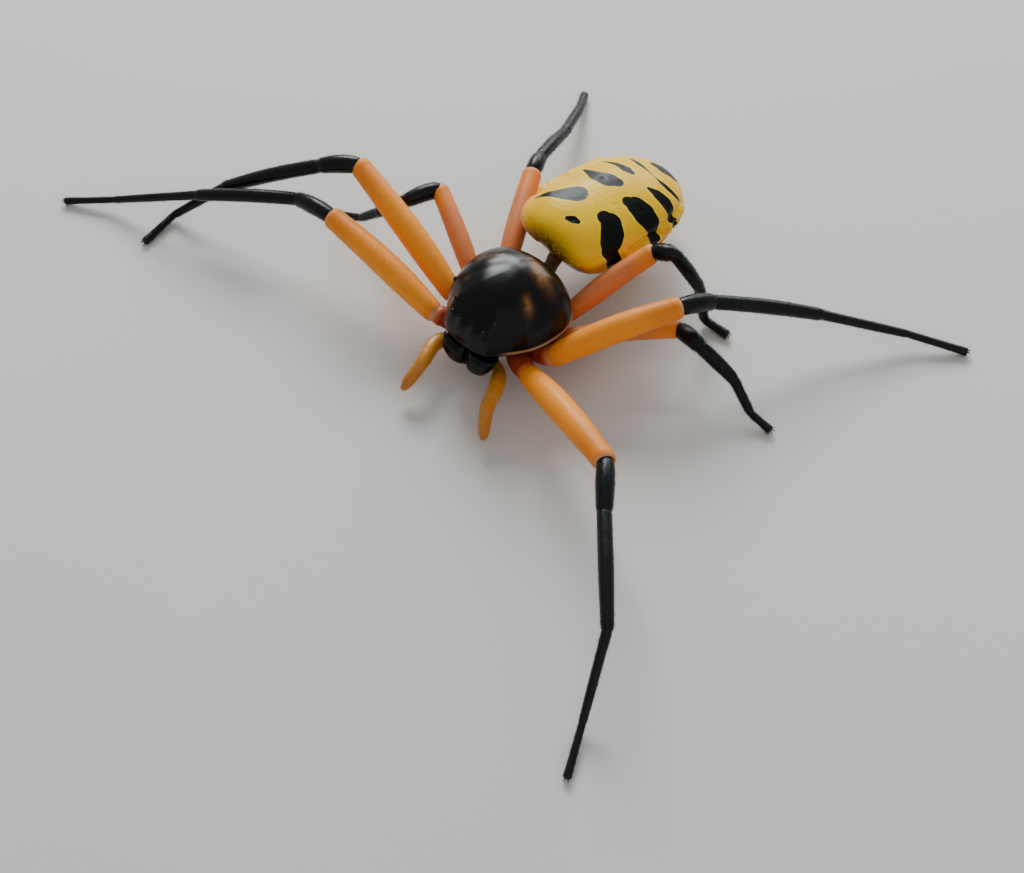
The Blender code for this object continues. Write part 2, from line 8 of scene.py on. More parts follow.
import bpy
import numpy as np
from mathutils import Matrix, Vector


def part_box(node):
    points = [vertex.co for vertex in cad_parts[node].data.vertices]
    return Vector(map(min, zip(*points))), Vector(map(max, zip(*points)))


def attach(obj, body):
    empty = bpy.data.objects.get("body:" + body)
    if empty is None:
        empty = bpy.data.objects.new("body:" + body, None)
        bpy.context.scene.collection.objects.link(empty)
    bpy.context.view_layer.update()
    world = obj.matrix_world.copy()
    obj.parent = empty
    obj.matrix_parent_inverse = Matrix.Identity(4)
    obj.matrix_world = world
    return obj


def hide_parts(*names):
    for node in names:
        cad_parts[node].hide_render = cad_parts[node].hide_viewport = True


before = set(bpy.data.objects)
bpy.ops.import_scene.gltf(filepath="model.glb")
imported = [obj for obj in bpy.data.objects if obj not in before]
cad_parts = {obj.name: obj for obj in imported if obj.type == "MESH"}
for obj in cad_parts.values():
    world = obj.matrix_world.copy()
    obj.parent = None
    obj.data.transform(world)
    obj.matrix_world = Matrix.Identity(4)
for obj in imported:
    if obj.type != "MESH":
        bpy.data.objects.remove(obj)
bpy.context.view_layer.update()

bl_info = {
    "name": "Giant crab spider",
    "version": (1, 0, 0),
    "blender": (4, 5, 0),
    "location": "3D View > Sidebar > Spider",
    "description": "Builds a life-size giant crab spider, its hair and a small studio",
    "category": "Add Mesh",
}

MM = 0.001
UP = np.array((0.0, 0.0, 1.0))
# Seeds of the hair's random draws. Each leg or palp adds its own number.
SEEDS = {"leg": 7, "thigh": 47, "abdomen": 207, "palp": 307}

# Carapace, with the same values as its solid.
CARAPACE_HALF_WIDTH = 3.4
CARAPACE_MIDDLE = 0.95
CARAPACE_FRONT = 4.2
CARAPACE_BACK = 2.5
CARAPACE_FRONT_EDGE = 1.45
CARAPACE_RIM_HEIGHT = 3.3
CARAPACE_DOME = 2.6
CARAPACE_FLATNESS = 2.4
CARAPACE_TOP_Y = 0.95
CARAPACE_LEVELS = 150
CARAPACE_SIDES = 288
OUTLINE_SMOOTHINGS = 12
# The carapace is turned a little to the spider's right, about this place.
CARAPACE_TURN = -3.6
HEAD_PIVOT = (0.0, 0.7, 0.0)
# The left eye of each pair: left, rear and radius.
EYES = ((0.45, -2.85, 0.14), (1.15, -2.7, 0.18), (1.42, -2.13, 0.14), (2.62, -0.95, 0.17))
# Grooves of the carapace's left half: start, end, depth and width.
GROOVES = (
    ((0.3, 1.2), (2.0, -0.9), 0.028, 0.3),
    ((0.3, 1.6), (2.9, 0.4), 0.016, 0.28),
    ((0.3, 1.6), (2.7, 1.7), 0.016, 0.28),
    ((0.3, 1.6), (1.7, 2.8), 0.016, 0.28),
)
# The short pit where the grooves meet: start, end, depth and width.
CENTRAL_PIT = ((0, 1.7), (0, 2.2), 0.035, 0.12)
# Rings that turn the edge under: share of the outline, drop below the rim, and how tan each is.
RIM_RINGS = ((1.008, 0.03, 1), (1.012, 0.07, 1), (1.009, 0.12, 0.4), (1.0, 0.2, 0), (0.985, 0.26, 0),
             (0.95, 0.3, 0), (0.8, 0.3, 0), (0.4, 0.3, 0), (0.02, 0.3, 0))
# Golden stains of the carapace, the second also a painted highlight where the shell's highlight fades to
# gold: left, rear, half width, half length, turn and strength.
STAINS_AND_HIGHLIGHT = (
    (2.0, -0.2, 0.24, 0.42, 48, 0.9),
    (1.0, 1.75, 0.36, 1.05, 68, 0.95),
    (-1.75, 1.0, 0.4, 0.6, -30, 0.3),
)

# Abdomen, with the same values as its solid.
ABDOMEN_LENGTH = 9.92
ABDOMEN_WIDTH = 7.1
ABDOMEN_HEIGHT = 4.4
ABDOMEN_WIDEST = 0.5
ABDOMEN_BLUNTNESS = (3.2, 2.15)
ABDOMEN_SWING = 8.8
ABDOMEN_PITCH = -6.9
ABDOMEN_FRONT = (-0.8, 4.3, 4.3)
# How far back the abdomen's front is tucked in below, and how soon that fades along it.
ABDOMEN_TUCK = 0.9
ABDOMEN_TUCK_FADE = 3
ABDOMEN_RINGS = 260
ABDOMEN_SIDES = 340
# Waves of the folds for a full turn, and the cross grooves' distances from the front.
FOLD_WAVES = 9.0
FLANK_GROOVES = (2.25, 5.2, 7.2)
# The furrow across the underside, as a distance from the front.
FURROW_PLACE = 3.1
# The markings lie this much further round to the left than the abdomen's highest line.
ABDOMEN_ROLL = 10
# Black markings as chains of discs: distance from the front, angle round from the middle
# line towards the left, and radius.
MARKINGS = {
    "front_dot": ((1.17, -1, 0.15), (1.32, 4, 0.24), (1.42, 9, 0.15)),
    "left_first": ((2.84, 19, 0.44), (2.97, 27, 0.62), (2.68, 38, 0.71), (2.34, 48, 0.66), (2.1, 56, 0.5)),
    "left_first_flank": ((2.22, 64, 0.44), (2.31, 77, 0.48), (2.36, 97, 0.4)),
    "left_second": ((4.75, 16, 0.36), (5.02, 24, 0.62), (5.17, 35, 0.72), (5.32, 47, 0.6), (5.32, 59, 0.42)),
    "left_second_flank": ((5.34, 68, 0.34), (5.37, 83, 0.3)),
    "left_third": ((6.54, 14, 0.12), (6.79, 24, 0.33), (7.02, 38, 0.42), (7.07, 51, 0.34), (7.02, 61, 0.24)),
    "left_third_flank": ((7.22, 69, 0.24), (7.42, 81, 0.32), (7.42, 99, 0.3)),
    "right_first": ((1.32, -59, 0.05), (1.84, -40, 0.26), (2.32, -27, 0.52), (2.72, -19, 0.66)),
    "right_second": ((4.72, -44, 0.1), (4.72, -27, 0.45), (4.94, -15, 0.57), (5.22, -7, 0.34)),
    "right_third": ((6.22, -45, 0.05), (6.47, -30, 0.17), (6.52, -18, 0.3), (6.54, -10, 0.16)),
    "band": ((7.74, -34, 0.1), (7.67, -19, 0.16), (7.62, -6, 0.05), (7.58, 5, 0.03), (7.7, 16, 0.14),
             (7.84, 26, 0.18), (8.09, 40, 0.15), (8.29, 54, 0.06)),
    "rear": ((8.72, -15, 0.31), (9.02, -3, 0.6), (9.27, 12, 0.52)),
}

# Small pits where muscles are fixed inside: distance from the front, and angle as above.
PITS = ((1.32, 4.0), (2.7, 33.0), (3.9, 12.0), (4.82, -20.0), (5.15, 31.0), (6.6, -22.0), (6.95, 40.0))
# Where the waist meets the abdomen.
PEDICEL_END = (-0.4, 4.8, 3.05)
# The waist's skin runs this much further, into the abdomen.
WAIST_OVERLAP = 0.5
WAIST_RADIUS = 0.45
WAIST_RIDGES = 5
# The abdomen's painted shade is full nearer than the first distance from the waist, and gone at the second.
PAINTED_SHADE_REACH = (1.7, 2.9)

# Underside and mouthparts.
STERNUM_HALF_WIDTH = 1.15
STERNUM_FRONT = -1.6
STERNUM_BACK = 2.4
STERNUM_BOTTOM = 0.95
# Heights above the breastplate's bottom, each with the share of its outline there.
STERNUM_LEVELS = ((0.0, 0.0), (0.0, 0.35), (0.02, 0.62), (0.12, 0.85), (0.35, 0.97), (0.65, 0.92),
                  (1.89, 0.92))
CHELICERA_WIDTH = 1.76
CHELICERA_TOP = 2.84
CHELICERA_BOTTOM = 1.4
CHELICERA_REACH = 2.74
JAW_END_SPREAD = 0.58
JAW_END_LEAN = 0.1
# Share of the way down a jaw, then its width, its depth and its reach forward there.
CHELICERA_RINGS = ((0.0, 1.0, 0.95, 0.0), (0.2, 1.0, 1.1, 0.1), (0.45, 0.95, 1.15, 0.2),
                   (0.7, 0.82, 1.05, 0.2), (0.9, 0.66, 0.85, 0.1), (1.0, 0.45, 0.55, 0.0))
JOINT_GAP = 0.16
PALP_PATHS = {
    "left": ((0.95, -1.98, 1.5), (1.65, -2.4, 1.45), (2.4, -3.55, 1.75), (2.85, -4.8, 1.6),
             (3.66, -6.1, 0.8)),
    "right": ((-0.95, -1.98, 1.5), (-2.0, -2.45, 1.5), (-2.2, -3.35, 1.8), (-1.85, -4.75, 1.75),
              (-1.95, -6.33, 0.8)),
}
PALP_RADII = (0.26, 0.32, 0.42, 0.43, 0.4, 0.36, 0.2)
PALP_JOINTS = (0.22, 0.5, 0.64, 0.8)
PALP_RINGS = 160
PALP_HAIRS = 700
# The left fang's way from its root, to the side of the jaw's lower end and above it.
FANG = ((0.16, 0.2), (0.1, -0.05), (-0.1, -0.22), (-0.32, -0.24))

# Spigots of the spinnerets, left and above their hub's middle.
SPIGOTS = ((-0.24, 0.18), (0.24, 0.18), (-0.2, -0.2), (0.2, -0.2))

# Legs, with the same values as their solids.
LEG_PARTS = ("coxa", "femur", "patella", "tibia", "metatarsus", "tarsus")
LEG_LENGTHS = {
    1: (8.8, 2.9, 6.0, 5.2, 3.0),
    2: (8.0, 2.3, 6.3, 5.0, 3.2),
    3: (6.3, 1.9, 2.7, 1.8, 1.5),
    4: (5.6, 1.4, 3.4, 2.9, 1.9),
}
# Radii near the body, at the belly and far out, for each length. FEMUR_RADII has the femora's.
LEG_RADII = ((0.36, 0.62, 0.50), (0, 0, 0), (0.49, 0.54, 0.45),
             (0.43, 0.44, 0.37), (0.32, 0.29, 0.25), (0.24, 0.24, 0.27))
FEMUR_RADII = {1: (0.58, 0.76, 0.62), 2: (0.6, 0.76, 0.6), 3: (0.45, 0.57, 0.5), 4: (0.47, 0.63, 0.55)}
LEG_THICKNESS = {1: 1.0, 2: 1.06, 3: 0.97, 4: 0.97}
FOOT_THICKNESS = {1: 1.0, 2: 1.08, 3: 1.08, 4: 1.2}
# The outer lengths' skin lies this much inside their solids, which reach to the tips of the short coat.
LEG_COAT = 0.045
# How strongly pale skin shows at each joint, from the coxa's outer end to the foot's. At the knee it is
# strong enough to stand also for a painted highlight.
JOINT_STRENGTHS = (0.6, 0.7, 0.15, 0.8, 0.3)
# How far each length bows upwards, as a share of its length.
LEG_BOWS = (0.0, 0.03, 0.05, 0.02, 0.0, 0.0)
FOOT_HEIGHT = 0.2
LEG_BASES = {1: (3.35, -1.95, 2.25), 2: (3.55, -0.2, 2.25), 3: (3.05, 1.2, 2.2), 4: (2.3, 2.7, 2.25)}
COXA_ROOTS = {1: (1.1, -0.78, 1.6), 2: (1.3, -0.05, 1.55), 3: (1.3, 0.9, 1.5), 4: (1.05, 1.8, 1.55)}
# Headings, climbs and stretches of the five lengths beyond the coxa.
LEG_POSES = {
    ("left", 1): ((-23, -53, -50.4, -69.9, -66), (15, -5, -4, -44.5), (0.99, 0.99, 1.07, 0.913, 0.97)),
    ("right", 1): ((176, 179, 208, 204, 214), (12, -9, -9, -19), (0.96, 0.99, 1.04, 1.15, 1.06)),
    ("left", 2): ((52, 68, 46, 37, 26), (19, -19, -16, -15), (0.93, 0.99, 1.03, 1.04, 1.1)),
    ("right", 2): ((168, 210, 212, 223, 274), (20, -11, -23, -33), (1.17, 1.02, 1.03, 0.78, 0.82)),
    ("left", 3): ((42.8, -16, 4.6, -18.4, 0), (3.2, 10, -28, -32.8), (1.03, 1.0, 0.94, 1.13, 1.0)),
    ("right", 3): ((150.5, 241.2, 193, 188, 185), (16.4, -5.6, -43, -41), (1.01, 1.09, 0.99, 0.99, 0.99)),
    ("left", 4): ((66, 8, 31, 20, 2), (26, 23, -57, -79), (1.05, 0.94, 0.87, 0.87, 0.89)),
    ("right", 4): ((116.7, 113.1, 106, 113, 119), (9, -6.9, -18, -17), (1.3, 1.15, 1.2, 1.2, 1.17)),
}

# On the map of the hair: half the width of one hair's patch, a leg's strip and its margins.
PATCH_RADIUS = 0.0015
LEG_STRIP = (0.115, 0.97)
STRIP_MARGIN = (0.0075, 0.015)

# The photograph's camera: where its middle meets the floor, in the spider's own frame.
CAMERA_TARGET = (4.29, -4.43, 0.0)
CAMERA_DISTANCE = 91.8
CAMERA_AZIMUTH = 40
CAMERA_ELEVATION = 53
FOCAL_PIXELS = 1700
IMAGE_WIDTH = 1024
SENSOR_WIDTH = 36.0
CAMERA_NEAR = 0.001

# Lights: direction from the spider, distance, size, power and tint.
LIGHTS = {
    "key_light": ((-0.619, 0.582, 0.527), 0.36, 0.14, 1.25, (0.92, 0.98, 1.0)),
    "back_light": ((-0.3, 0.87, 0.39), 0.36, 0.2, 0.6, (0.9, 0.97, 1.0)),
    "fill_light": ((0.7, -0.5, 0.6), 0.6, 0.8, 0.6, (1.0, 0.96, 0.9)),
}
WORLD_TINT = (0.92, 0.94, 1.0, 1.0)
WORLD_STRENGTH = 0.44
# Half the floor's side and how far it lies below the feet, in metres.
FLOOR_EDGE = 1.5
FLOOR_DROP = 0.00002


def paint(red, green, blue):
    """A colour given from 0 to 255 as it shows on a screen, as the linear light that Blender uses."""
    shown = np.array((red, green, blue)) / 255
    linear = np.where(shown < 0.04045, shown / 12.92, ((shown + 0.055) / 1.055) ** 2.4)
    return tuple(float(part) for part in linear) + (1.0,)


def colour_property(name, description, shown):
    """A colour that a user can change, with its default given as it shows on a screen."""
    return bpy.props.FloatVectorProperty(
        name=name, description=description, subtype="COLOR", size=4, min=0, max=1, default=paint(*shown))


def size_property(name, description, default, low=0.0, high=10.0):
    """A size in millimetres that a user can change."""
    return bpy.props.FloatProperty(name=name, description=description + ", in millimetres",
                                   default=default, min=low, max=high)


class SpiderSizes(bpy.types.PropertyGroup):
    """Sizes and amounts that change the spider's surface and hair."""

    grid_step: size_property("Grid step", "Distance between the rings of a leg", 0.07, 0.03, 0.5)
    joint_dip: bpy.props.FloatProperty(
        name="Joint narrowing", description="How much a leg narrows at a joint, as a share of its radius",
        default=0.05, min=0, max=0.5, subtype="FACTOR")
    fold_depth: size_property("Fold depth", "Depth of the folds along the abdomen's flanks", 0.1)
    eye_swell: size_property("Eye mound", "Height of the mound round each eye", 0.07)
    hair_length: size_property("Hair length", "Length of the short hairs on the legs", 0.13)
    hair_radius: size_property("Hair radius", "Radius of a short hair at its root", 0.006, 0.001, 0.1)
    leg_hairs: bpy.props.IntProperty(
        name="Hairs for each leg", description="How many short hairs grow on each leg",
        default=2900, min=0, max=3200)
    abdomen_hairs: bpy.props.IntProperty(
        name="Abdomen hairs", description="How many short hairs grow on the abdomen",
        default=1700, min=0, max=12000)


class SpiderColours(bpy.types.PropertyGroup):
    """Colours of the spider's finishes and of its floor."""

    shell: colour_property("Shell black", "The carapace's black", (7, 7, 6))
    # Golden brown of the stains, also used for the painted highlight beside the shell's highlight.
    stain: colour_property("Shell stain", "Golden brown stains of the carapace", (150, 100, 48))
    rim: colour_property("Shell rim", "Thin tan edge of the carapace", (168, 124, 88))
    leg: colour_property("Leg black", "Black of the outer leg lengths", (7, 8, 8))
    skin: colour_property("Joint skin", "Pale skin at the joints", (214, 190, 170))
    femur_front: colour_property("Front femora", "Bright orange of the front femora", (255, 150, 0))
    femur_rear: colour_property("Rear femora", "Salmon red of the rear femora", (216, 122, 62))
    knee: colour_property("Knees", "Deep orange of the femora's outer ends", (240, 132, 0))
    coxa: colour_property("Leg roots", "Red orange of the leg roots and the underside", (160, 48, 6))
    yellow: colour_property("Abdomen yellow", "Main yellow of the abdomen", (255, 199, 0))
    pale: colour_property("Abdomen pale", "Whitish middle of the abdomen", (255, 228, 60))
    flank: colour_property("Abdomen flank", "Deep orange yellow of the abdomen's flanks", (242, 152, 0))
    # Painted shade: the speckled brown laid near the waist, under the abdomen and on the waist.
    dusk: colour_property("Abdomen dusk", "Brown speckled shade of the abdomen's lower front", (74, 50, 12))
    marking: colour_property("Abdomen black", "The abdomen's black markings", (9, 11, 9))
    palp: colour_property("Palp yellow", "Mustard yellow of the palps", (204, 130, 0))
    # Painted sheen: the blue grey laid on the legs' backs where light would catch them.
    painted_sheen: colour_property("Leg bloom", "Faint blue grey bloom along the legs' backs", (126, 146, 148))
    hair: colour_property("Dark hair", "Hair on the black parts", (12, 12, 11))
    pale_hair: colour_property("Pale hair", "Hair on the yellow and orange parts", (196, 150, 92))
    floor: colour_property("Floor", "The pale studio floor", (226, 222, 214))


def unit(vectors):
    """Vectors of the last axis divided by their lengths."""
    return vectors / np.maximum(np.linalg.norm(vectors, axis=-1, keepdims=True), 1e-12)


def direction(heading, climb):
    """The unit vector of a heading, from the spider's left towards its rear, and a climb, in degrees."""
    turn, rise = np.radians(heading), np.radians(climb)
    return np.array((np.cos(turn) * np.cos(rise), np.sin(turn) * np.cos(rise), np.sin(rise)))


def hump(distance, width):
    """A bell curve: 1 at no distance, falling off over the width."""
    return np.exp(-(distance / width) ** 2)


def smooth_step(values, low, high):
    """0 below low and 1 above high, with an S-shaped rise between them."""
    share = np.clip((values - low) / (high - low), 0, 1)
    return share * share * (3 - 2 * share)


def ripple(points, size, seed):
    """Smooth unevenness from -1 to 1: five plane waves of about the size, in seeded directions, averaged."""
    draw = np.random.default_rng(seed)
    ways = unit(draw.normal(size=(5, 3))) * 2 * np.pi / (size * draw.uniform(0.7, 1.5, (5, 1)))
    phases = draw.uniform(0, 2 * np.pi, 5)
    return np.sin(points @ ways.T + phases).mean(axis=-1) * 1.6


class Shape:
    """Points in millimetres with their four-sided and three-sided faces and values for each point."""

    def __init__(self, points, quads, triangles, data, uv=None):
        self.points = points
        self.quads = quads
        self.triangles = triangles
        self.data = data
        self.uv = uv


def lofted(rings, **data):
    """A closed body: each ring is joined to the next, and each end to a point at its ring's middle.

    Every array of values has the rings' first two axes. Faces are turned outwards by the sign
    of the volume, which is the sum of each face's corner times the cross of the other two.
    """
    count, sides = rings.shape[:2]
    rows = np.arange(count - 1)[:, None] * sides
    near = np.arange(sides)[None, :]
    far = (near + 1) % sides
    corners = (rows + near, rows + far, rows + sides + far, rows + sides + near)
    quads = np.stack(corners, axis=-1).reshape(-1, 4)
    first, last = count * sides, count * sides + 1
    ring = np.arange(sides)
    after = (ring + 1) % sides
    start_fan = np.stack((np.full(sides, first), after, ring), axis=-1)
    top = (count - 1) * sides
    end_fan = np.stack((np.full(sides, last), top + ring, top + after), axis=-1)
    triangles = np.concatenate((start_fan, end_fan))
    points = np.concatenate((rings.reshape(-1, 3), rings[:1].mean(axis=1), rings[-1:].mean(axis=1)))
    corners = points[np.concatenate((quads[:, :3], quads[:, (0, 2, 3)], triangles))]
    volume = (corners[:, 0] * np.cross(corners[:, 1], corners[:, 2])).sum()
    if volume < 0:
        quads, triangles = quads[:, ::-1], triangles[:, ::-1]
    values = {}
    for key, grid in data.items():
        grid = np.broadcast_to(grid, (count, sides))
        values[key] = np.concatenate((grid.ravel(), [grid[0].mean(), grid[-1].mean()]))
    return Shape(points, quads, triangles, values)


def joined(shapes):
    """Several shapes as one, with the same kinds of values."""
    starts = np.cumsum([0] + [len(shape.points) for shape in shapes[:-1]])
    data = {key: np.concatenate([shape.data[key] for shape in shapes]) for key in shapes[0].data}
    uv = None if shapes[0].uv is None else np.concatenate([shape.uv for shape in shapes])
    return Shape(
        np.concatenate([shape.points for shape in shapes]),
        np.concatenate([shape.quads + start for shape, start in zip(shapes, starts)]),
        np.concatenate([shape.triangles + start for shape, start in zip(shapes, starts)]),
        data, uv)


def find_origin():
    """Where the spider's own frame starts: the sternum's middle, with its rear end's place taken off."""
    low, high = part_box("sternum")
    fullest = max(scale for _, scale in STERNUM_LEVELS)
    middle, half = 0.5 * (STERNUM_FRONT + STERNUM_BACK), 0.5 * (STERNUM_BACK - STERNUM_FRONT)
    return np.array((0.5 * (low.x + high.x) / MM, high.y / MM - middle - half * fullest, 0.0))


ORIGIN = find_origin()


def new_piece(name, shape, look, slot, *nodes):
    """Put a shape into a mesh object that rides with the body and stands for the CAD nodes."""
    mesh = bpy.data.meshes.new(name)
    points = (shape.points + ORIGIN) * MM
    points[:, 2] = np.maximum(points[:, 2], 0.0)
    loops = np.concatenate((shape.quads.ravel(), shape.triangles.ravel())).astype(np.int32)
    quad_starts = np.arange(len(shape.quads)) * 4
    triangle_starts = shape.quads.size + np.arange(len(shape.triangles)) * 3
    starts = np.concatenate((quad_starts, triangle_starts)).astype(np.int32)
    mesh.vertices.add(len(points))
    mesh.vertices.foreach_set("co", points.astype(np.float32).ravel())
    mesh.loops.add(len(loops))
    mesh.loops.foreach_set("vertex_index", loops)
    mesh.polygons.add(len(starts))
    mesh.polygons.foreach_set("loop_start", starts)
    mesh.update(calc_edges=True)
    mesh.shade_smooth()
    for key, values in shape.data.items():
        mesh.attributes.new(key, "FLOAT", "POINT").data.foreach_set("value", values.astype(np.float32))
    if shape.uv is not None:
        layer = mesh.uv_layers.new(name="OFBake")
        layer.data.foreach_set("uv", shape.uv[loops].astype(np.float32).ravel())
    mesh.materials.append(look.material)
    item = bpy.data.objects.new(name, mesh)
    bpy.context.scene.collection.objects.link(item)
    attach(item, "root")
    if nodes:
        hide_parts(*nodes)
    return item


class Value:
    """One output of a shader node. Python's operators on it add Math nodes."""

    def __init__(self, look, socket):
        self.look = look
        self.socket = socket

    def math(self, operation, *terms):
        return self.look.node("Math", {"operation": operation}, dict(enumerate(terms)))

    def __add__(self, other):
        return self.math("ADD", self, other)

    def __sub__(self, other):
        return self.math("SUBTRACT", self, other)

    def __rsub__(self, other):
        return self.math("SUBTRACT", other, self)

    def __mul__(self, other):
        return self.math("MULTIPLY", self, other)

    __radd__ = __add__
    __rmul__ = __mul__

    def between(self, low, high):
        """0 at low and 1 at high, with an S-shaped rise between them."""
        settings = {"interpolation_type": "SMOOTHSTEP"}
        return self.look.node("MapRange", settings, {"Value": self, "From Min": low, "From Max": high})


class Look:
    """A material on a Principled shader, with constants set on its sockets."""

    def __init__(self, name, **constants):
        self.material = bpy.data.materials.new(name)
        self.material.use_nodes = True
        self.tree = self.material.node_tree
        self.shader = self.tree.nodes["Principled BSDF"]
        for key, value in constants.items():
            self.shader.inputs[key.replace("_", " ")].default_value = value
        self.place = self.node("TexCoord", output="Object")

    def node(self, kind, settings=None, sockets=None, output=0):
        """Add a node: its settings first, then the values or links of its sockets."""
        item = self.tree.nodes.new("ShaderNode" + kind)
        for key, value in (settings or {}).items():
            setattr(item, key, value)
        for key, value in (sockets or {}).items():
            self.connect(value, item.inputs[key])
        return Value(self, item.outputs[output])

    def connect(self, value, socket):
        if isinstance(value, Value):
            self.tree.links.new(value.socket, socket)
        else:
            socket.default_value = value

    def feed(self, **sockets):
        """Link values to the shader's sockets."""
        for key, value in sockets.items():
            self.connect(value, self.shader.inputs[key.replace("_", " ")])

    def attribute(self, name):
        return self.node("Attribute", {"attribute_name": name}, output="Fac")

    def noise(self, size, detail):
        """Cloudy noise with features of about the size, in millimetres."""
        sockets = {"Vector": self.place, "Scale": 1 / (size * MM), "Detail": detail}
        return self.node("TexNoise", {}, sockets)

    def mix(self, share, first, second):
        """The first colour where share is 0 and the second where it is 1."""
        sockets = {"Factor": share, 6: first, 7: second}
        return self.node("Mix", {"data_type": "RGBA"}, sockets, 2)

    def bump(self, height, depth):
        """A normal for a height from 0 to 1 that stands for a depth in millimetres."""
        return self.node("Bump", {}, {"Height": height, "Distance": depth * MM})


def shell_look(colours, name):
    """Polished black shell with cloudy golden stains, one of them partly a painted highlight, a tan edge and
    a fine grain.
    """
    look = Look(name, Specular_IOR_Level=0.18, Coat_Weight=0.05, Coat_Roughness=0.1)
    cloud = look.noise(0.55, 5)
    grain = look.noise(0.06, 3)
    # Golden stains; the second is partly a painted highlight.
    blotch = look.attribute("stain") * (cloud * 2.6 - 0.55).between(0.0, 1.0)
    colour = look.mix(blotch, colours.shell, colours.stain)
    colour = look.mix(look.attribute("rim") * (cloud * 0.5 + 0.7), colour, colours.rim)
    look.feed(Base_Color=colour, Roughness=cloud * 0.14 + grain * 0.06 + 0.1, Normal=look.bump(grain, 0.007))
    return look


def leg_look(colours):
    """Black outer leg lengths with a faint painted sheen of blue grey on their backs and pale skin under the
    joints.
    """
    look = Look("leg_black_finish", Specular_IOR_Level=0.24)
    cloud = look.noise(0.5, 4)
    grain = look.noise(0.05, 2)
    dorsal = look.attribute("dorsal")
    # Painted sheen: the legs' backs are tinted blue grey as if lit from behind.
    painted_sheen = (dorsal + (cloud - 0.5) * 0.5).between(0.6, 1.05) * (grain * 0.03)
    colour = look.mix(painted_sheen, colours.leg, colours.painted_sheen)
    skin = look.attribute("joint") * dorsal.between(0.1, -0.7)
    colour = look.mix(skin * 0.7, colour, colours.skin)
    look.feed(Base_Color=colour, Roughness=cloud * 0.14 + 0.2, Normal=look.bump(grain, 0.01))
    return look


def thigh_look(colours, name, femur):
    """Waxy orange femora, redder at the root and deeper orange at the knee, with pale skin where they turn
    and a faint painted highlight along their tops.
    """
    look = Look(name, Specular_IOR_Level=0.24, Coat_Weight=0.06, Coat_Roughness=0.25)
    cloud = look.noise(0.8, 4)
    speck = look.noise(0.12, 2)
    grain = look.noise(0.045, 2)
    place = look.attribute("place")
    dorsal = look.attribute("dorsal")
    colour = look.mix(place.between(0.85, 1.12), colours.coxa, femur)
    knee = (place.between(1.55, 1.98) + (cloud - 0.5) * 0.6).between(0.1, 0.9)
    colour = look.mix(knee * 0.9, colour, colours.knee)
    # Painted highlight: the femur's top is mixed a little towards the pale skin colour.
    pale = dorsal.between(0.4, 1.0) * cloud.between(0.35, 0.75) * 0.08
    colour = look.mix(pale, colour, colours.skin)
    colour = look.mix(speck.between(0.6, 0.75) * 0.4, colour, colours.coxa)
    # Pale joint skin; at the knee it is partly a painted highlight.
    skin = look.attribute("joint") * cloud.between(0.35, 0.6) * 0.8
    colour = look.mix(skin, colour, colours.skin)
    look.feed(Base_Color=colour, Roughness=cloud * 0.16 + 0.38, Normal=look.bump(grain, 0.014))
    return look


def underside_look(colours):
    """Red orange plates of the underside, mottled, with the waist painted dark brown as shade."""
    look = Look("underside_finish", Specular_IOR_Level=0.5, Coat_Weight=0.2, Coat_Roughness=0.25)
    cloud = look.noise(0.6, 4)
    grain = look.noise(0.06, 2)
    colour = look.mix(cloud.between(0.35, 0.7) * 0.5, colours.coxa, colours.femur_rear)
    # Painted shade: the waist is mixed towards the shade colour.
    colour = look.mix(look.attribute("dusk") * 0.9, colour, colours.dusk)
    look.feed(Base_Color=colour, Roughness=cloud * 0.2 + 0.3, Normal=look.bump(grain, 0.014))
    return look


def abdomen_look(colours):
    """Glossy yellow skin, whitish along the middle, deeper orange on its flanks and darker in its folds as
    painted shade, with black markings.
    """
    look = Look("abdomen_finish", Specular_IOR_Level=0.12, Coat_Weight=0.05, Coat_Roughness=0.06)
    cloud = look.noise(1.6, 4)
    mottle = look.noise(0.3, 4)
    grain = look.noise(0.07, 3)
    middle = (look.attribute("pale") + (cloud - 0.5) * 1.3 + (mottle - 0.5) * 0.5).between(0.6, 1.4)
    # The flank orange is partly the flanks' own tone and partly painted shade in the folds' valleys and
    # creases.
    flank = (look.attribute("flank") + (cloud - 0.5) * 0.8 + (mottle - 0.5) * 0.5).between(0.25, 1.05)
    colour = look.mix(middle, colours.yellow, colours.pale)
    colour = look.mix(flank, colour, colours.flank)
    away = look.attribute("marking") + (mottle - 0.5) * 0.05
    halo = away.between(0.2, 0.02) * cloud.between(0.35, 0.6) * 0.7
    colour = look.mix(halo, colour, colours.pale)
    # Painted shade: speckled dark brown near the waist and over the underside.
    dusk = look.attribute("dusk") * (grain * 1.5 + mottle * 1.2 - 0.55).between(0.0, 1.0)
    colour = look.mix(dusk, colour, colours.dusk)
    black = away.between(0.025, -0.015)
    colour = look.mix(black, colour, colours.marking)
    rough = black * 0.16 + mottle * 0.06 + 0.16
    skin = (grain + mottle * 1.2) * (1 - black * 0.7)
    look.feed(Base_Color=colour, Roughness=rough, Normal=look.bump(skin, 0.014))
    return look


def palp_look(colours):
    """Mustard yellow palps, browner towards the tip, with a fine grain."""
    look = Look("palp_finish", Specular_IOR_Level=0.5, Coat_Weight=0.15, Coat_Roughness=0.25)
    cloud = look.noise(0.5, 4)
    grain = look.noise(0.05, 2)
    tip = (look.attribute("place").between(0.55, 1.0) * 0.6 + (cloud - 0.5) * 0.6).between(0.0, 1.0)
    colour = look.mix(tip * 0.5, colours.palp, colours.coxa)
    colour = look.mix(look.attribute("joint") * 0.05, colour, colours.skin)
    look.feed(Base_Color=colour, Roughness=cloud * 0.2 + 0.32, Normal=look.bump(grain, 0.014))
    return look


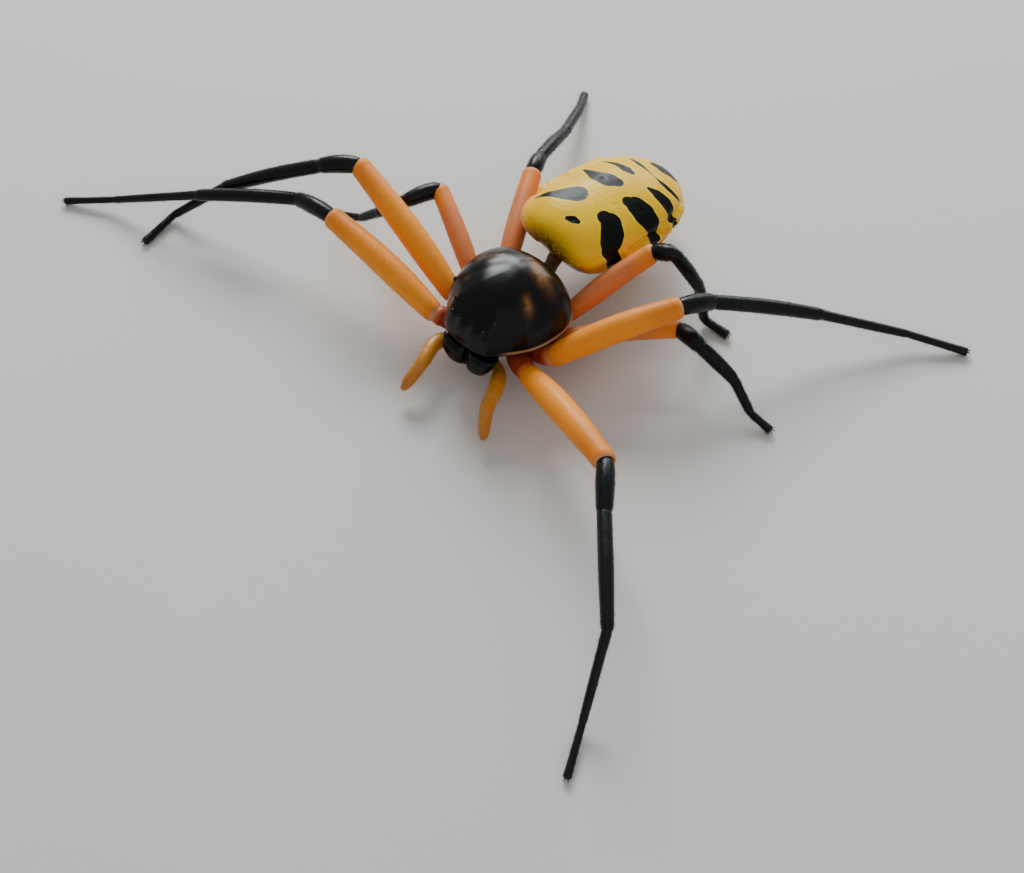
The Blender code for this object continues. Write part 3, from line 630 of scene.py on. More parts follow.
def eye_look():
    """Wet black lenses with a dark blue tint."""
    look = Look("eye_finish", Specular_IOR_Level=0.25)
    cloud = look.noise(0.1, 2)
    colour = look.mix(cloud, paint(3, 4, 6), paint(8, 14, 18))
    look.feed(Base_Color=colour, Roughness=cloud * 0.05 + 0.04)
    return look


def hair_look(name, root, tip, marking=None):
    """Hair that changes from its root's colour to its tip's, and takes the colour of a marking under it."""
    look = Look(name, Specular_IOR_Level=0.15)
    cloud = look.noise(0.7, 2)
    share = look.attribute("share") * 0.7 + cloud * 0.4
    colour = look.mix(share.between(0.1, 1.0), root, tip)
    if marking:
        colour = look.mix(look.attribute("marking").between(0.03, -0.02), colour, marking)
    look.feed(Base_Color=colour, Roughness=cloud * 0.2 + 0.35)
    return look


def floor_look(colours):
    """A pale matt floor with the faintest unevenness."""
    look = Look("floor_finish", Specular_IOR_Level=0.25)
    cloud = look.noise(25, 3)
    tone = tuple(colours.floor)
    darker = tuple(0.95 * part for part in tone[:3]) + (1.0,)
    look.feed(Base_Color=look.mix(cloud, darker, tone), Roughness=cloud * 0.1 + 0.6)
    return look


def grid_normals(rings):
    """Unit normals of a grid that is closed round its rings: the cross of its two slopes, turned outwards."""
    along = np.gradient(rings, axis=0)
    around = np.roll(rings, -1, axis=1) - np.roll(rings, 1, axis=1)
    normals = unit(np.cross(along, around))
    outward = (normals * (rings - rings.mean(axis=1, keepdims=True))).sum(axis=(1, 2))
    return normals * np.where(outward.sum() < 0, -1.0, 1.0)


def carapace_outline(angle):
    """The carapace's edge in plan: a superellipse behind, and one set out from a flat edge in front."""
    across, along = np.abs(np.sin(angle)), -np.cos(angle)
    rear_x = CARAPACE_HALF_WIDTH * across ** 0.9
    rear_y = CARAPACE_MIDDLE + CARAPACE_BACK * np.maximum(along, 0) ** 0.92
    edge = CARAPACE_FRONT_EDGE * np.minimum(1, across / 0.4)
    front_x = edge + (CARAPACE_HALF_WIDTH - CARAPACE_FRONT_EDGE) * across ** 2.8
    front_y = CARAPACE_MIDDLE - CARAPACE_FRONT * np.maximum(-along, 0) ** 0.8
    x = np.where(along > 0, rear_x, front_x) * np.sign(np.sin(angle))
    outline = np.stack((x, np.where(along > 0, rear_y, front_y)), axis=-1)
    for _ in range(OUTLINE_SMOOTHINGS):
        outline = 0.25 * np.roll(outline, 1, axis=0) + 0.5 * outline + 0.25 * np.roll(outline, -1, axis=0)
    return outline


OUTLINE = carapace_outline(2 * np.pi * (np.arange(CARAPACE_SIDES) + 0.5) / CARAPACE_SIDES)


def dome_height(x, y):
    """Height of the carapace over a place in plan: rim + dome * sqrt(1 - share to the power of the flatness),
    where share is how far the place lies from the top towards the edge."""
    corners = OUTLINE - (0.0, CARAPACE_TOP_Y)
    turns = np.arctan2(corners[:, 1], corners[:, 0])
    order = np.argsort(turns)
    turn = np.arctan2(y - CARAPACE_TOP_Y, x)
    reach = np.interp(turn, turns[order], np.hypot(*corners[order].T), period=2 * np.pi)
    share = np.minimum(np.hypot(x, y - CARAPACE_TOP_Y) / reach, 1.0)
    return CARAPACE_RIM_HEIGHT + CARAPACE_DOME * np.sqrt(1 - share ** CARAPACE_FLATNESS)


def both_sides(places):
    """Each place and its mirror image on the right."""
    return [(sign * x, *rest) for x, *rest in places for sign in (1, -1)]


def line_distance(x, y, start, end):
    """Distance in plan from the line between two places."""
    way = np.subtract(end, start)
    share = ((x - start[0]) * way[0] + (y - start[1]) * way[1]) / (way @ way)
    share = np.clip(share, 0, 1)
    return np.hypot(x - start[0] - share * way[0], y - start[1] - share * way[1])


def carapace_relief(x, y, share, swell):
    """Heights added to the dome: a raised head, grooves that run out from a short pit, and eye mounds."""
    relief = 0.06 * hump(np.hypot(x / 1.9, (y + 1.4) / 1.5), 1.0)
    start, end, depth, width = CENTRAL_PIT
    relief -= depth * hump(line_distance(x, y, start, end), width)
    fade = smooth_step(np.hypot(x, y - 1.5), 0.3, 1.3)
    for mirror in ((1, 1), (-1, 1)):
        for start, end, depth, width in GROOVES:
            away = line_distance(x, y, np.multiply(start, mirror), np.multiply(end, mirror))
            relief -= depth * fade * hump(away, width)
    relief *= 1 - smooth_step(share, 0.7, 0.97)
    for left, rear, radius in both_sides(EYES):
        relief += swell * hump(np.hypot(x - left, (y - rear) * 0.8), 1.7 * radius)
    return relief


def carapace_shape(sizes):
    """The outline drawn in towards the top, level by level, then round a thin edge to the underside."""
    share = np.sin(0.5 * np.pi * np.linspace(0.012, 1, CARAPACE_LEVELS) ** 0.92)[:, None]
    x = OUTLINE[None, :, 0] * share
    y = OUTLINE[None, :, 1] * share + CARAPACE_TOP_Y * (1 - share)
    z = CARAPACE_RIM_HEIGHT + CARAPACE_DOME * np.sqrt(np.maximum(1 - share ** CARAPACE_FLATNESS, 0)) + 0 * x
    rings = np.stack((x, y, z), axis=-1)
    relief = carapace_relief(x, y, share, sizes.eye_swell) + 0.003 * ripple(rings, 0.9, 3)
    rings += grid_normals(rings) * relief[..., None]
    rim = 1 - smooth_step(rings[..., 2], CARAPACE_RIM_HEIGHT + 0.03, CARAPACE_RIM_HEIGHT + 0.09)
    # Stains, the second of them partly a painted highlight.
    stain = np.zeros(x.shape)
    for left, rear, half_width, half_length, turn, strength in STAINS_AND_HIGHLIGHT:
        turn = math.radians(turn)
        across = (x - left) * math.cos(turn) + (y - rear) * math.sin(turn)
        lengthwise = (y - rear) * math.cos(turn) - (x - left) * math.sin(turn)
        away = np.hypot(across / half_width, lengthwise / half_length)
        stain = np.maximum(stain, strength * hump(away, 1.0))
    scale, drop, shown = (np.array(column)[:, None, None] for column in zip(*RIM_RINGS))
    level = CARAPACE_RIM_HEIGHT - drop + 0 * OUTLINE[None, :, :1]
    under = np.concatenate((OUTLINE[None] * scale, level), axis=-1)
    fade = smooth_step(OUTLINE[:, 1], -2.6, -1.7)
    shown = shown[..., 0] + 0 * under[..., 0]
    return lofted(
        turned_head(np.concatenate((rings, under))),
        rim=np.concatenate((rim, shown)) * fade,
        stain=np.concatenate((stain, 0 * shown)))


def turned_head(points):
    """Points turned about the upright line through the head's pivot."""
    turn = math.radians(CARAPACE_TURN)
    matrix = np.array(((math.cos(turn), -math.sin(turn), 0), (math.sin(turn), math.cos(turn), 0), (0, 0, 1)))
    return (points - HEAD_PIVOT) @ matrix.T + HEAD_PIVOT


def ball(centre, axis, radius, height):
    """An ellipsoid of revolution: circles of sine radius stacked by cosine along its axis."""
    count = 14
    axis = unit(np.array(axis, float))
    side = unit(np.cross(axis, (0.3, 1.0, 0.2)))
    other = np.cross(axis, side)
    fall = np.linspace(0.04, np.pi - 0.04, count)[:, None, None]
    turn = np.linspace(0, 2 * np.pi, 2 * count, endpoint=False)[None, :, None]
    circle = np.cos(turn) * side + np.sin(turn) * other
    return lofted(np.array(centre) + radius * np.sin(fall) * circle + height * np.cos(fall) * axis)


def eye_shape(sizes):
    """Eight domed lenses, each set into the top of its mound."""
    lenses = []
    for x, y, radius in both_sides(EYES):
        step = 0.05
        slope_x = (dome_height(x + step, y) - dome_height(x - step, y)) / (2 * step)
        slope_y = (dome_height(x, y + step) - dome_height(x, y - step)) / (2 * step)
        normal = unit(np.array((-float(slope_x), -float(slope_y), 1.0)))
        centre = np.array((x, y, float(dome_height(x, y)))) + normal * (sizes.eye_swell * 0.9 - 0.1 * radius)
        lenses.append(ball(centre, normal, radius, 0.8 * radius))
    eyes = joined(lenses)
    eyes.points = turned_head(eyes.points)
    return eyes


def abdomen_axes():
    """The abdomen's length, left and back as unit vectors."""
    along = direction(90 - ABDOMEN_SWING, ABDOMEN_PITCH)
    left = direction(-ABDOMEN_SWING, 0)
    return along, left, np.cross(left, along)


def abdomen_surface(distance, angle):
    """A point at a distance from the front and an angle round from the highest line: two superellipses
    give the length's profile, and an ellipse the cross-section."""
    along, left, back = abdomen_axes()
    place = np.clip(distance / ABDOMEN_LENGTH, 0.0, 1.0)
    front, rear = ABDOMEN_BLUNTNESS
    ahead = np.clip(1 - place / ABDOMEN_WIDEST, 0, 1)
    behind = np.clip((place - ABDOMEN_WIDEST) / (1 - ABDOMEN_WIDEST), 0, 1)
    full = np.where(place < ABDOMEN_WIDEST,
                    (1 - ahead ** front) ** (1 / front), (1 - behind ** rear) ** (1 / rear))
    across = 0.5 * ABDOMEN_WIDTH * full * np.sin(np.radians(angle))
    upwards = 0.5 * ABDOMEN_HEIGHT * full * np.cos(np.radians(angle))
    tuck = ABDOMEN_TUCK * np.maximum(0, -np.cos(np.radians(angle))) * (1 - place) ** ABDOMEN_TUCK_FADE
    return (np.array(ABDOMEN_FRONT) + along * (ABDOMEN_LENGTH * place + tuck)[..., None]
            + left * across[..., None] + back * upwards[..., None])


def marking_distance(points):
    """Signed distance to the nearest marking: to its chain of discs, less the radius there."""
    nearest = np.full(points.shape[:-1], 9.0)
    for chain in MARKINGS.values():
        distances, angles, radii = (np.array(column, float) for column in zip(*chain))
        centres = abdomen_surface(distances, angles + ABDOMEN_ROLL)
        for index in range(len(chain) - 1):
            way = centres[index + 1] - centres[index]
            share = np.clip((points - centres[index]) @ way / (way @ way), 0, 1)
            away = np.linalg.norm(points - centres[index] - share[..., None] * way, axis=-1)
            radius = radii[index] + share * (radii[index + 1] - radii[index])
            nearest = np.minimum(nearest, away - radius)
    return nearest


def abdomen_shape(sizes):
    """The abdomen's surface, pushed in and out along its normals by flank folds, pits and markings."""
    distance = 0.5 * ABDOMEN_LENGTH * (1 - np.cos(np.pi * np.linspace(0.012, 0.988, ABDOMEN_RINGS)))[:, None]
    angle = np.linspace(-180, 180, ABDOMEN_SIDES, endpoint=False)[None, :]
    rings = abdomen_surface(distance + 0 * angle, angle + 0 * distance)
    marking = marking_distance(rings)
    turned = np.abs((angle - ABDOMEN_ROLL + 180) % 360 - 180) + 0 * distance
    place = distance / ABDOMEN_LENGTH + 0 * angle
    flank = smooth_step(turned, 48, 78) * (1 - smooth_step(turned, 128, 150)) * smooth_step(place, 0.04, 0.2)
    sway = ripple(rings, 3.0, 11)
    folds = np.sin(np.radians(turned) * FOLD_WAVES + 1.6 * sway + 2.5 * place)
    sharp = 1 - np.abs(folds) ** 0.7
    relief = -sizes.fold_depth * 1.3 * flank * sharp
    lumps = np.where(angle < ABDOMEN_ROLL, 0.35, 0.8) * flank + 0.2
    relief += 0.8 * sizes.fold_depth * lumps * ripple(rings, 1.5, 12) * smooth_step(turned, 10, 60)
    relief -= 0.012 * (1 - smooth_step(marking, -0.16, 0.04))
    for groove in FLANK_GROOVES:
        relief -= 1.3 * sizes.fold_depth * flank * hump(distance + 0.25 * sway - groove, 0.3)
    pleat = turned - 61 - 4 * sway
    pleat = 1.5 * hump(pleat, 5) - 0.7 * hump(pleat - 12, 8)
    relief -= sizes.fold_depth * pleat * smooth_step(place, 0.15, 0.4)
    pucker = smooth_step(turned, 52, 66) * (1 - smooth_step(turned, 108, 128)) * smooth_step(place, 0.12, 0.3)
    crumple = (1 - np.abs(ripple(rings, 1.0, 14)) ** 0.6) * pucker
    relief -= 0.9 * sizes.fold_depth * crumple
    for pit_distance, across in PITS:
        pit = abdomen_surface(np.array([pit_distance]), np.array([ABDOMEN_ROLL + across]))[0]
        relief -= 0.04 * hump(np.linalg.norm(rings - pit, axis=-1), 0.15)
    furrow = hump(distance - FURROW_PLACE - 0.3 * np.cos(np.radians(2 * angle)), 0.16)
    relief -= 0.07 * furrow * smooth_step(turned, 120, 140)
    relief += 0.003 * ripple(rings, 0.35, 13)
    ends = smooth_step(place, 0.0, 0.08) * (1 - smooth_step(place, 0.96, 1.0))
    rings = rings + grid_normals(rings) * (relief * ends)[..., None]
    pale = hump(turned, 34) * (0.45 + 0.55 * hump(distance - 3.7, 1.5))
    pale += 0.6 * hump(distance - 1, 1.1) * hump(turned - 38, 30)
    # Flank orange towards the sides and the rear end, plus painted shade: more of it in the folds' valleys
    # and creases.
    flank_tone_and_crease_shade = 0.75 * smooth_step(turned, 50, 95) + 0.45 * smooth_step(place, 0.9, 1.0)
    flank_tone_and_crease_shade = flank_tone_and_crease_shade + 0.5 * flank * sharp ** 3 + 0.4 * crumple ** 2
    # Painted shade: full near the waist, fading with distance, and added over the underside.
    dusk = 1 - smooth_step(np.linalg.norm(rings - PEDICEL_END, axis=-1), *PAINTED_SHADE_REACH)
    dusk += 0.8 * smooth_step(turned, 100, 150)
    return lofted(rings, marking=marking, pale=pale, flank=flank_tone_and_crease_shade, dusk=np.clip(dusk, 0, 1))


def tube(points, radii, sides=44):
    """Circles square to a smooth line. The side of each lies level, and its back faces up.

    Returns the rings with the line's own directions, for what grows on the tube.
    """
    tangent = unit(np.gradient(points, axis=0))
    side = unit(np.cross(tangent, UP))
    window = np.hanning(9)[1:-1] / np.hanning(9)[1:-1].sum()
    padded = np.concatenate((side[:1].repeat(3, axis=0), side, side[-1:].repeat(3, axis=0)))
    side = np.stack([np.convolve(padded[:, axis], window, mode="valid") for axis in range(3)], axis=-1)
    side = unit(side - tangent * (side * tangent).sum(axis=-1, keepdims=True))
    back = np.cross(side, tangent)
    turn = (2 * np.pi * np.arange(sides) / sides)[None, :, None]
    spoke = side[:, None] * np.cos(turn) + back[:, None] * np.sin(turn)
    rings = points[:, None] + spoke * radii[:, None, None]
    dorsal = np.sin(turn[..., 0]) + 0 * rings[..., 0]
    return rings, unit(spoke), tangent, dorsal


def rod(points, radii, sides=44, **data):
    """A closed body round a line, with the dorsal values of its tube."""
    rings, _, _, dorsal = tube(points, radii, sides)
    return lofted(rings, dorsal=dorsal, **data)


def rounded(depth, least):
    """How much a round end narrows: the square root of 1 - depth squared, or of least if that is more."""
    return np.sqrt(np.clip(1 - np.clip(depth, 0, 1) ** 2, least, 1))


def softened(points, reach):
    """A line with its corners rounded: each point is a weighted mean of its neighbours within reach."""
    weights = np.hanning(2 * reach + 3)[1:-1]
    weights /= weights.sum()
    steps = np.arange(1, reach + 1)[:, None]
    before = points[0] - (points[1] - points[0]) * steps[::-1]
    after = points[-1] + (points[-1] - points[-2]) * steps
    padded = np.concatenate((before, points, after))
    return np.stack([np.convolve(padded[:, axis], weights, mode="valid") for axis in range(3)], axis=-1)


class Leg:
    """One leg's middle line, radii and surface, worked out from its pose."""

    def __init__(self, side, pair, sizes):
        mirror = (1 if side == "left" else -1, 1, 1)
        headings, climbs, stretches = LEG_POSES[side, pair]
        corners = [np.array(COXA_ROOTS[pair]) * mirror, np.array(LEG_BASES[pair]) * mirror]
        for index, length in enumerate(LEG_LENGTHS[pair]):
            length = length * stretches[index]
            if index < len(climbs):
                climb = climbs[index]
            else:
                climb = math.degrees(math.asin((FOOT_HEIGHT - corners[-1][2]) / length))
            corners.append(corners[-1] + direction(headings[index], climb) * length)
        corners = np.array(corners)
        spans = np.linalg.norm(np.diff(corners, axis=0), axis=1)
        ends = np.concatenate(([0.0], np.cumsum(spans)))
        reach = np.linspace(0, ends[-1], int(ends[-1] / sizes.grid_step))
        line = np.stack([np.interp(reach, ends, corners[:, axis]) for axis in range(3)], axis=-1)
        place = np.interp(reach, ends, np.arange(len(ends)))
        index = np.minimum(place.astype(int), len(spans) - 1)
        share = place - index
        ways = unit(np.diff(corners, axis=0))
        rise = unit(UP - ways * ways[:, 2:])
        bow = (np.array(LEG_BOWS) * spans)[index] * np.sin(np.pi * share)
        self.line = softened(line + rise[index] * bow[:, None], int(0.4 / sizes.grid_step))
        self.reach = reach
        self.ends = ends
        self.place = place
        self.radii = self.thickness(pair, index, share, sizes)
        self.name = "{}_{}".format(side, pair)
        self.joint = sum(strength * hump(reach - end, 0.09)
                         for strength, end in zip(JOINT_STRENGTHS, ends[1:-1]))

    def thickness(self, pair, index, share, sizes):
        """Radii that swell between the joints, and draw in at each joint with a low collar beside it."""
        table = np.array(LEG_RADII) * LEG_THICKNESS[pair]
        table[4:] = np.array(LEG_RADII[4:]) * FOOT_THICKNESS[pair]
        table[1] = FEMUR_RADII[pair]
        near, belly, far = table[index].T
        peak = np.where(index == 0, 0.6, 0.4)
        rising = near + (belly - near) * np.sin(0.5 * np.pi * np.minimum(share / peak, 1))
        falling = far + (belly - far) * np.sin(0.5 * np.pi * np.minimum((1 - share) / (1 - peak), 1))
        radii = np.where(share < peak, rising, falling)
        for end in self.ends[1:-1]:
            radii = radii * (1 - sizes.joint_dip * hump(self.reach - end, 0.13))
            radii = radii * (1 + 0.03 * hump(self.reach - end + 0.3, 0.16))
        radii = radii * (1 - 0.8 * sizes.joint_dip * hump(self.reach - self.ends[1] + 0.5, 0.09))
        return radii - LEG_COAT * smooth_step(index + share, 1.97, 2.06)

    def part(self, start, end, start_round, end_round):
        """The surface between two distances along the leg, closed by rounding its ends off."""
        keep = (self.reach > start) & (self.reach < end)
        reach = self.reach[keep]
        closing = rounded(1 - (reach - start) / start_round, 0.004)
        closing = closing * rounded(1 - (end - reach) / end_round, 0.004)
        return rod(self.line[keep], self.radii[keep] * closing,
                   place=self.place[keep][:, None], joint=self.joint[keep][:, None])

    def thigh(self):
        """Coxa and femur, up to just past the knee."""
        return self.part(0.0, self.ends[2] + 0.12, 0.15, 0.16)

    def shank(self):
        """Patella to foot, from just inside the knee."""
        return self.part(self.ends[2] - 0.08, self.ends[-1], 0.16, 0.16)

    def grown(self, draw, count, start, end):
        """Seeded places on the surface: points, normals, ways to the foot, unwrap and place."""
        rings, spokes, tangents, _ = tube(self.line, self.radii)
        choice = np.flatnonzero((self.place > start) & (self.place < end))
        row = draw.choice(choice, count, p=self.radii[choice] / self.radii[choice].sum())
        column = draw.integers(0, rings.shape[1], count)
        share = draw.random((count, 1))
        after = (column + 1) % rings.shape[1]
        points = rings[row, column] * (1 - share) + rings[row, after] * share
        normals = unit(spokes[row, column] * (1 - share) + spokes[row, after] * share)
        patch = np.stack(((column + share[:, 0]) / rings.shape[1], self.reach[row] / self.reach[-1]), axis=-1)
        return points, normals, tangents[row], patch, self.place[row]


def spikes(points, normals, ways, lengths, radii, lean, patch, levels=(0.0, 0.35, 0.7)):
    """Tapering three-sided hairs. Each is a parabola that leaves the skin at the lean and bends along
    the way: point + length * (t * first + t squared * bend). Its radius falls to 0 at the tip."""
    lean = np.broadcast_to(lean, lengths.shape)[:, None]
    first = unit(normals * np.cos(lean) + ways * np.sin(lean))
    bend = 0.35 * unit(ways * np.cos(lean) - 0.3 * normals * np.sin(lean))
    side = unit(np.cross(first, ways + 0.01 * UP))
    other = np.cross(first, side)
    turns = 2 * np.pi * np.arange(3) / 3
    rings = []
    uvs = []
    shares = []
    for level in levels:
        reach = lengths[:, None] * (level * first + level ** 2 * bend) - 0.02 * normals * (level == 0)
        middle = points + reach
        radius = (radii * (1 - level) ** 0.7)[:, None]
        for turn in turns:
            rings.append(middle + radius * (side * math.cos(turn) + other * math.sin(turn)))
            uvs.append(patch + PATCH_RADIUS * np.array((math.cos(turn), math.sin(turn))) * (1 - level))
            shares.append(np.full(len(points), level))
    rings.append(points + lengths[:, None] * (first + bend))
    uvs.append(patch + 0.0)
    shares.append(np.ones(len(points)))
    size = len(rings)
    base = np.arange(len(points))[:, None, None] * size
    quads = []
    for level in range(len(levels) - 1):
        for turn in range(3):
            near, far = 3 * level + turn, 3 * level + (turn + 1) % 3
            quads.append((near, far, far + 3, near + 3))
    top = 3 * (len(levels) - 1)
    tips = [(top, top + 1, size - 1), (top + 1, top + 2, size - 1), (top + 2, top, size - 1)]
    return Shape(
        np.stack(rings, axis=1).reshape(-1, 3),
        (base + np.array(quads)).reshape(-1, 4),
        (base + np.array(tips)).reshape(-1, 3),
        {"share": np.stack(shares, axis=1).ravel()},
        np.stack(uvs, axis=1).reshape(-1, 2))


def leg_patch(patch, number):
    """A leg's own strip of the map, one eighth wide less its margins, where its unwrap is laid."""
    return patch * LEG_STRIP + (STRIP_MARGIN[0] + 0.125 * number, STRIP_MARGIN[1])


def leg_hair(leg, number, sizes):
    """Short hairs that lie towards the foot, longer below the foot's last two lengths."""
    draw = np.random.default_rng(SEEDS["leg"] + number)
    points, normals, ways, patch, place = leg.grown(draw, sizes.leg_hairs, 2.05, 6.0)
    below = np.clip(-normals[:, 2], 0, 1) * (place > 4)
    lengths = sizes.hair_length * draw.uniform(0.6, 1.4, len(points)) * (1 + 0.3 * below)
    lengths *= 1 - 0.35 * smooth_step(place, 5.6, 6.0)
    radii = sizes.hair_radius * draw.uniform(0.7, 1.2, len(points))
    lean = np.radians(draw.uniform(48, 74, len(points))) - 0.5 * below
    ways = unit(ways + 0.25 * draw.normal(size=ways.shape))
    return spikes(points, normals, ways, lengths, radii, lean, leg_patch(patch, number))


def thigh_hair(leg, number, sizes):
    """Sparse fine hairs of the coxa and the femur."""
    draw = np.random.default_rng(SEEDS["thigh"] + number)
    count = int(0.5 * sizes.leg_hairs)
    points, normals, ways, patch, _ = leg.grown(draw, count, 0.3, 2.0)
    lengths = 0.8 * sizes.hair_length * draw.uniform(0.6, 1.4, count)
    radii = 0.75 * sizes.hair_radius * draw.uniform(0.7, 1.2, count)
    ways = unit(ways + 0.2 * draw.normal(size=ways.shape))
    lean = np.radians(draw.uniform(45, 72, count))
    return spikes(points, normals, ways, lengths, radii, lean, leg_patch(patch, number))


def claw_shape(leg):
    """Two small hooked claws at the foot's tip."""
    tip = leg.line[-1]
    way = unit((leg.line[-1] - leg.line[-8]) * (1, 1, 0))
    side = np.cross(way, UP)
    shapes = []
    for sign in (-1, 1):
        turn = np.linspace(0, 1, 10)[:, None]
        path = tip + sign * side * (0.07 + 0.05 * turn) + way * (0.16 * turn - 0.02)
        path = path + UP * (0.06 + 0.05 * np.sin(np.pi * turn) - 0.14 * turn ** 2)
        radii = 0.035 * (1 - turn[:, 0]) ** 0.6 + 0.004
        rings, _, _, _ = tube(path, radii, sides=10)
        shapes.append(lofted(rings))
    return joined(shapes)


def abdomen_hair(sizes):
    """Very short pale hairs over the abdomen, lying towards its rear."""
    draw = np.random.default_rng(SEEDS["abdomen"])
    count = sizes.abdomen_hairs
    distance = ABDOMEN_LENGTH * draw.uniform(0.02, 0.985, count)
    angle = draw.uniform(-180, 180, count)
    points = abdomen_surface(distance, angle)
    ahead = abdomen_surface(np.minimum(distance + 0.05, ABDOMEN_LENGTH * 0.999), angle)
    aside = abdomen_surface(distance, angle + 1.0)
    ways = unit(ahead - points)
    normals = unit(np.cross(aside - points, ways))
    middle = ABDOMEN_FRONT + abdomen_axes()[0] * distance[:, None]
    outward = (normals * (points - middle)).sum(axis=1)
    normals *= np.sign(outward)[:, None]
    lengths = 0.75 * sizes.hair_length * draw.uniform(0.6, 1.3, count) * (1 + smooth_step(distance, 8.2, 9.6))
    radii = np.full(count, 0.6 * sizes.hair_radius)
    ways = unit(ways + 0.15 * draw.normal(size=ways.shape))
    patch = 0.02 + 0.96 * np.stack(((angle + 180) / 360, distance / ABDOMEN_LENGTH), axis=-1)
    lean = np.radians(draw.uniform(35, 65, count))
    hair = spikes(points, normals, ways, lengths, radii, lean, patch)
    hair.data["marking"] = marking_distance(points).repeat(len(hair.points) // count)
    return hair


class Palp:
    """One palp's middle line and radii."""

    def __init__(self, side):
        corners = np.array(PALP_PATHS[side])
        before = 2 * corners[0] - corners[1]
        after = 2 * corners[-1] - corners[-2]
        padded = np.concatenate(([before], corners, [after]))
        place = np.linspace(0, len(corners) - 1, PALP_RINGS)
        index = np.minimum(place.astype(int), len(corners) - 2)
        t = (place - index)[:, None]
        first, near, far, last = (padded[index + offset] for offset in range(4))
        self.line = 0.5 * (2 * near + (far - first) * t + (2 * first - 5 * near + 4 * far - last) * t ** 2
                           + (3 * near - first - 3 * far + last) * t ** 3)
        self.place = np.linspace(0, 1, PALP_RINGS)
        self.radii = np.interp(self.place, np.linspace(0, 1, len(PALP_RADII)), PALP_RADII)
        self.radii[-24:] = self.radii[-25] * np.sqrt(1 - np.linspace(0.04, 0.99, 24) ** 2.4)
        self.joint = np.zeros(PALP_RINGS)
        for joint in PALP_JOINTS:
            self.radii *= 1 - 0.03 * hump(self.place - joint, 0.018)
            self.radii *= 1 + 0.015 * hump(self.place - joint + 0.035, 0.025)
            self.joint += hump(self.place - joint, 0.014)

    def shape(self):
        return rod(self.line, self.radii, place=self.place[:, None], joint=self.joint[:, None])

    def hair(self, number, sizes):
        """Short hairs towards the palp's tip, thicker over its last length."""
        draw = np.random.default_rng(SEEDS["palp"] + number)
        rings, spokes, tangents, _ = tube(self.line, self.radii)
        count = PALP_HAIRS
        row = ((PALP_RINGS - 2) * draw.random(count) ** 0.6).astype(int)
        column = draw.integers(0, rings.shape[1], count)
        lengths = sizes.hair_length * draw.uniform(0.6, 1.2, count)
        ways = unit(tangents[row] + 0.2 * draw.normal(size=(count, 3)))
        around = 0.48 * number + 0.45 * column / rings.shape[1]
        patch = 0.02 + np.stack((around, 0.95 * row / PALP_RINGS), axis=-1)
        radii = np.full(count, 0.8 * sizes.hair_radius)
        return spikes(rings[row, column], spokes[row, column], ways, lengths, radii,
                      np.radians(draw.uniform(40, 70, count)), patch)


def jaw_end(mirror):
    """The middle of a jaw's lower end."""
    return np.array((mirror * JAW_END_SPREAD, -CHELICERA_REACH - JAW_END_LEAN, CHELICERA_BOTTOM))


def chelicera_shape(mirror):
    """A jaw base: squarish rings whose inner sides are cut flat at the gap between the two."""
    top = np.array((mirror * 0.5 * (CHELICERA_WIDTH + JOINT_GAP), -CHELICERA_REACH, CHELICERA_TOP))
    low = jaw_end(mirror)
    levels = np.linspace(0, 1, 70)
    places, *columns = zip(*CHELICERA_RINGS)
    widths, depths, forward = (softened_values(levels, places, column) for column in columns)
    closing = rounded((levels - 0.82) / 0.18, 0.01) * rounded((0.06 - levels) / 0.06, 0.3)
    turn = np.linspace(0, 2 * np.pi, 64, endpoint=False)[None, :]
    across = np.sign(np.cos(turn)) * np.abs(np.cos(turn)) ** 0.85
    lengthwise = np.sign(np.sin(turn)) * np.abs(np.sin(turn)) ** 0.85
    centre = top + (low - top) * levels[:, None]
    x = mirror * (centre[:, :1] + across * (0.5 * CHELICERA_WIDTH * widths * closing)[:, None])
    limit = 0.5 * JOINT_GAP
    x = mirror * (limit + 0.5 * (x - limit + np.sqrt((x - limit) ** 2 + 0.02)))
    y = centre[:, 1:2] - forward[:, None] + lengthwise * (0.55 * depths * closing)[:, None]
    z = centre[:, 2:] + 0 * x
    rings = np.stack((x, y, z), axis=-1)
    return lofted(rings, stain=np.zeros(x.shape), rim=np.zeros(x.shape))


def softened_values(levels, places, values):
    """Values read between the named places with smooth changes of slope."""
    fine = np.interp(np.linspace(-0.1, 1.1, 400), places, values)
    window = np.hanning(41) / np.hanning(41).sum()
    smooth = np.convolve(np.pad(fine, 20, mode="edge"), window, mode="valid")
    return np.interp(levels, np.linspace(-0.1, 1.1, 400), smooth)


def fang_shape(mirror):
    """A curved fang folded inwards under the jaw."""
    low = jaw_end(mirror)
    places = np.linspace(0, 3, 40)
    away, drop = (np.interp(places, range(4), [corner[column] for corner in FANG]) for column in (0, 1))
    path = softened(low + np.stack((mirror * away, np.full(40, -0.02), drop), axis=-1), 8)
    radii = 0.19 * np.sqrt(np.clip(1 - (places / 3.02) ** 1.6, 0.001, 1))
    rings, _, _, _ = tube(path, radii, sides=20)
    return lofted(rings, stain=np.zeros(rings.shape[:2]), rim=np.zeros(rings.shape[:2]))


def capsule(start, end, radius):
    """A bar with round ends: its radius is the square root of a sine over its length."""
    start, end = np.array(start, float), np.array(end, float)
    angle = np.linspace(0.05, np.pi - 0.05, 26)
    share = 0.5 * (1 - np.cos(angle))
    radii = radius * np.sqrt(np.sin(angle))
    rings, _, _, _ = tube(start + (end - start) * share[:, None], radii, 28)
    return lofted(rings)


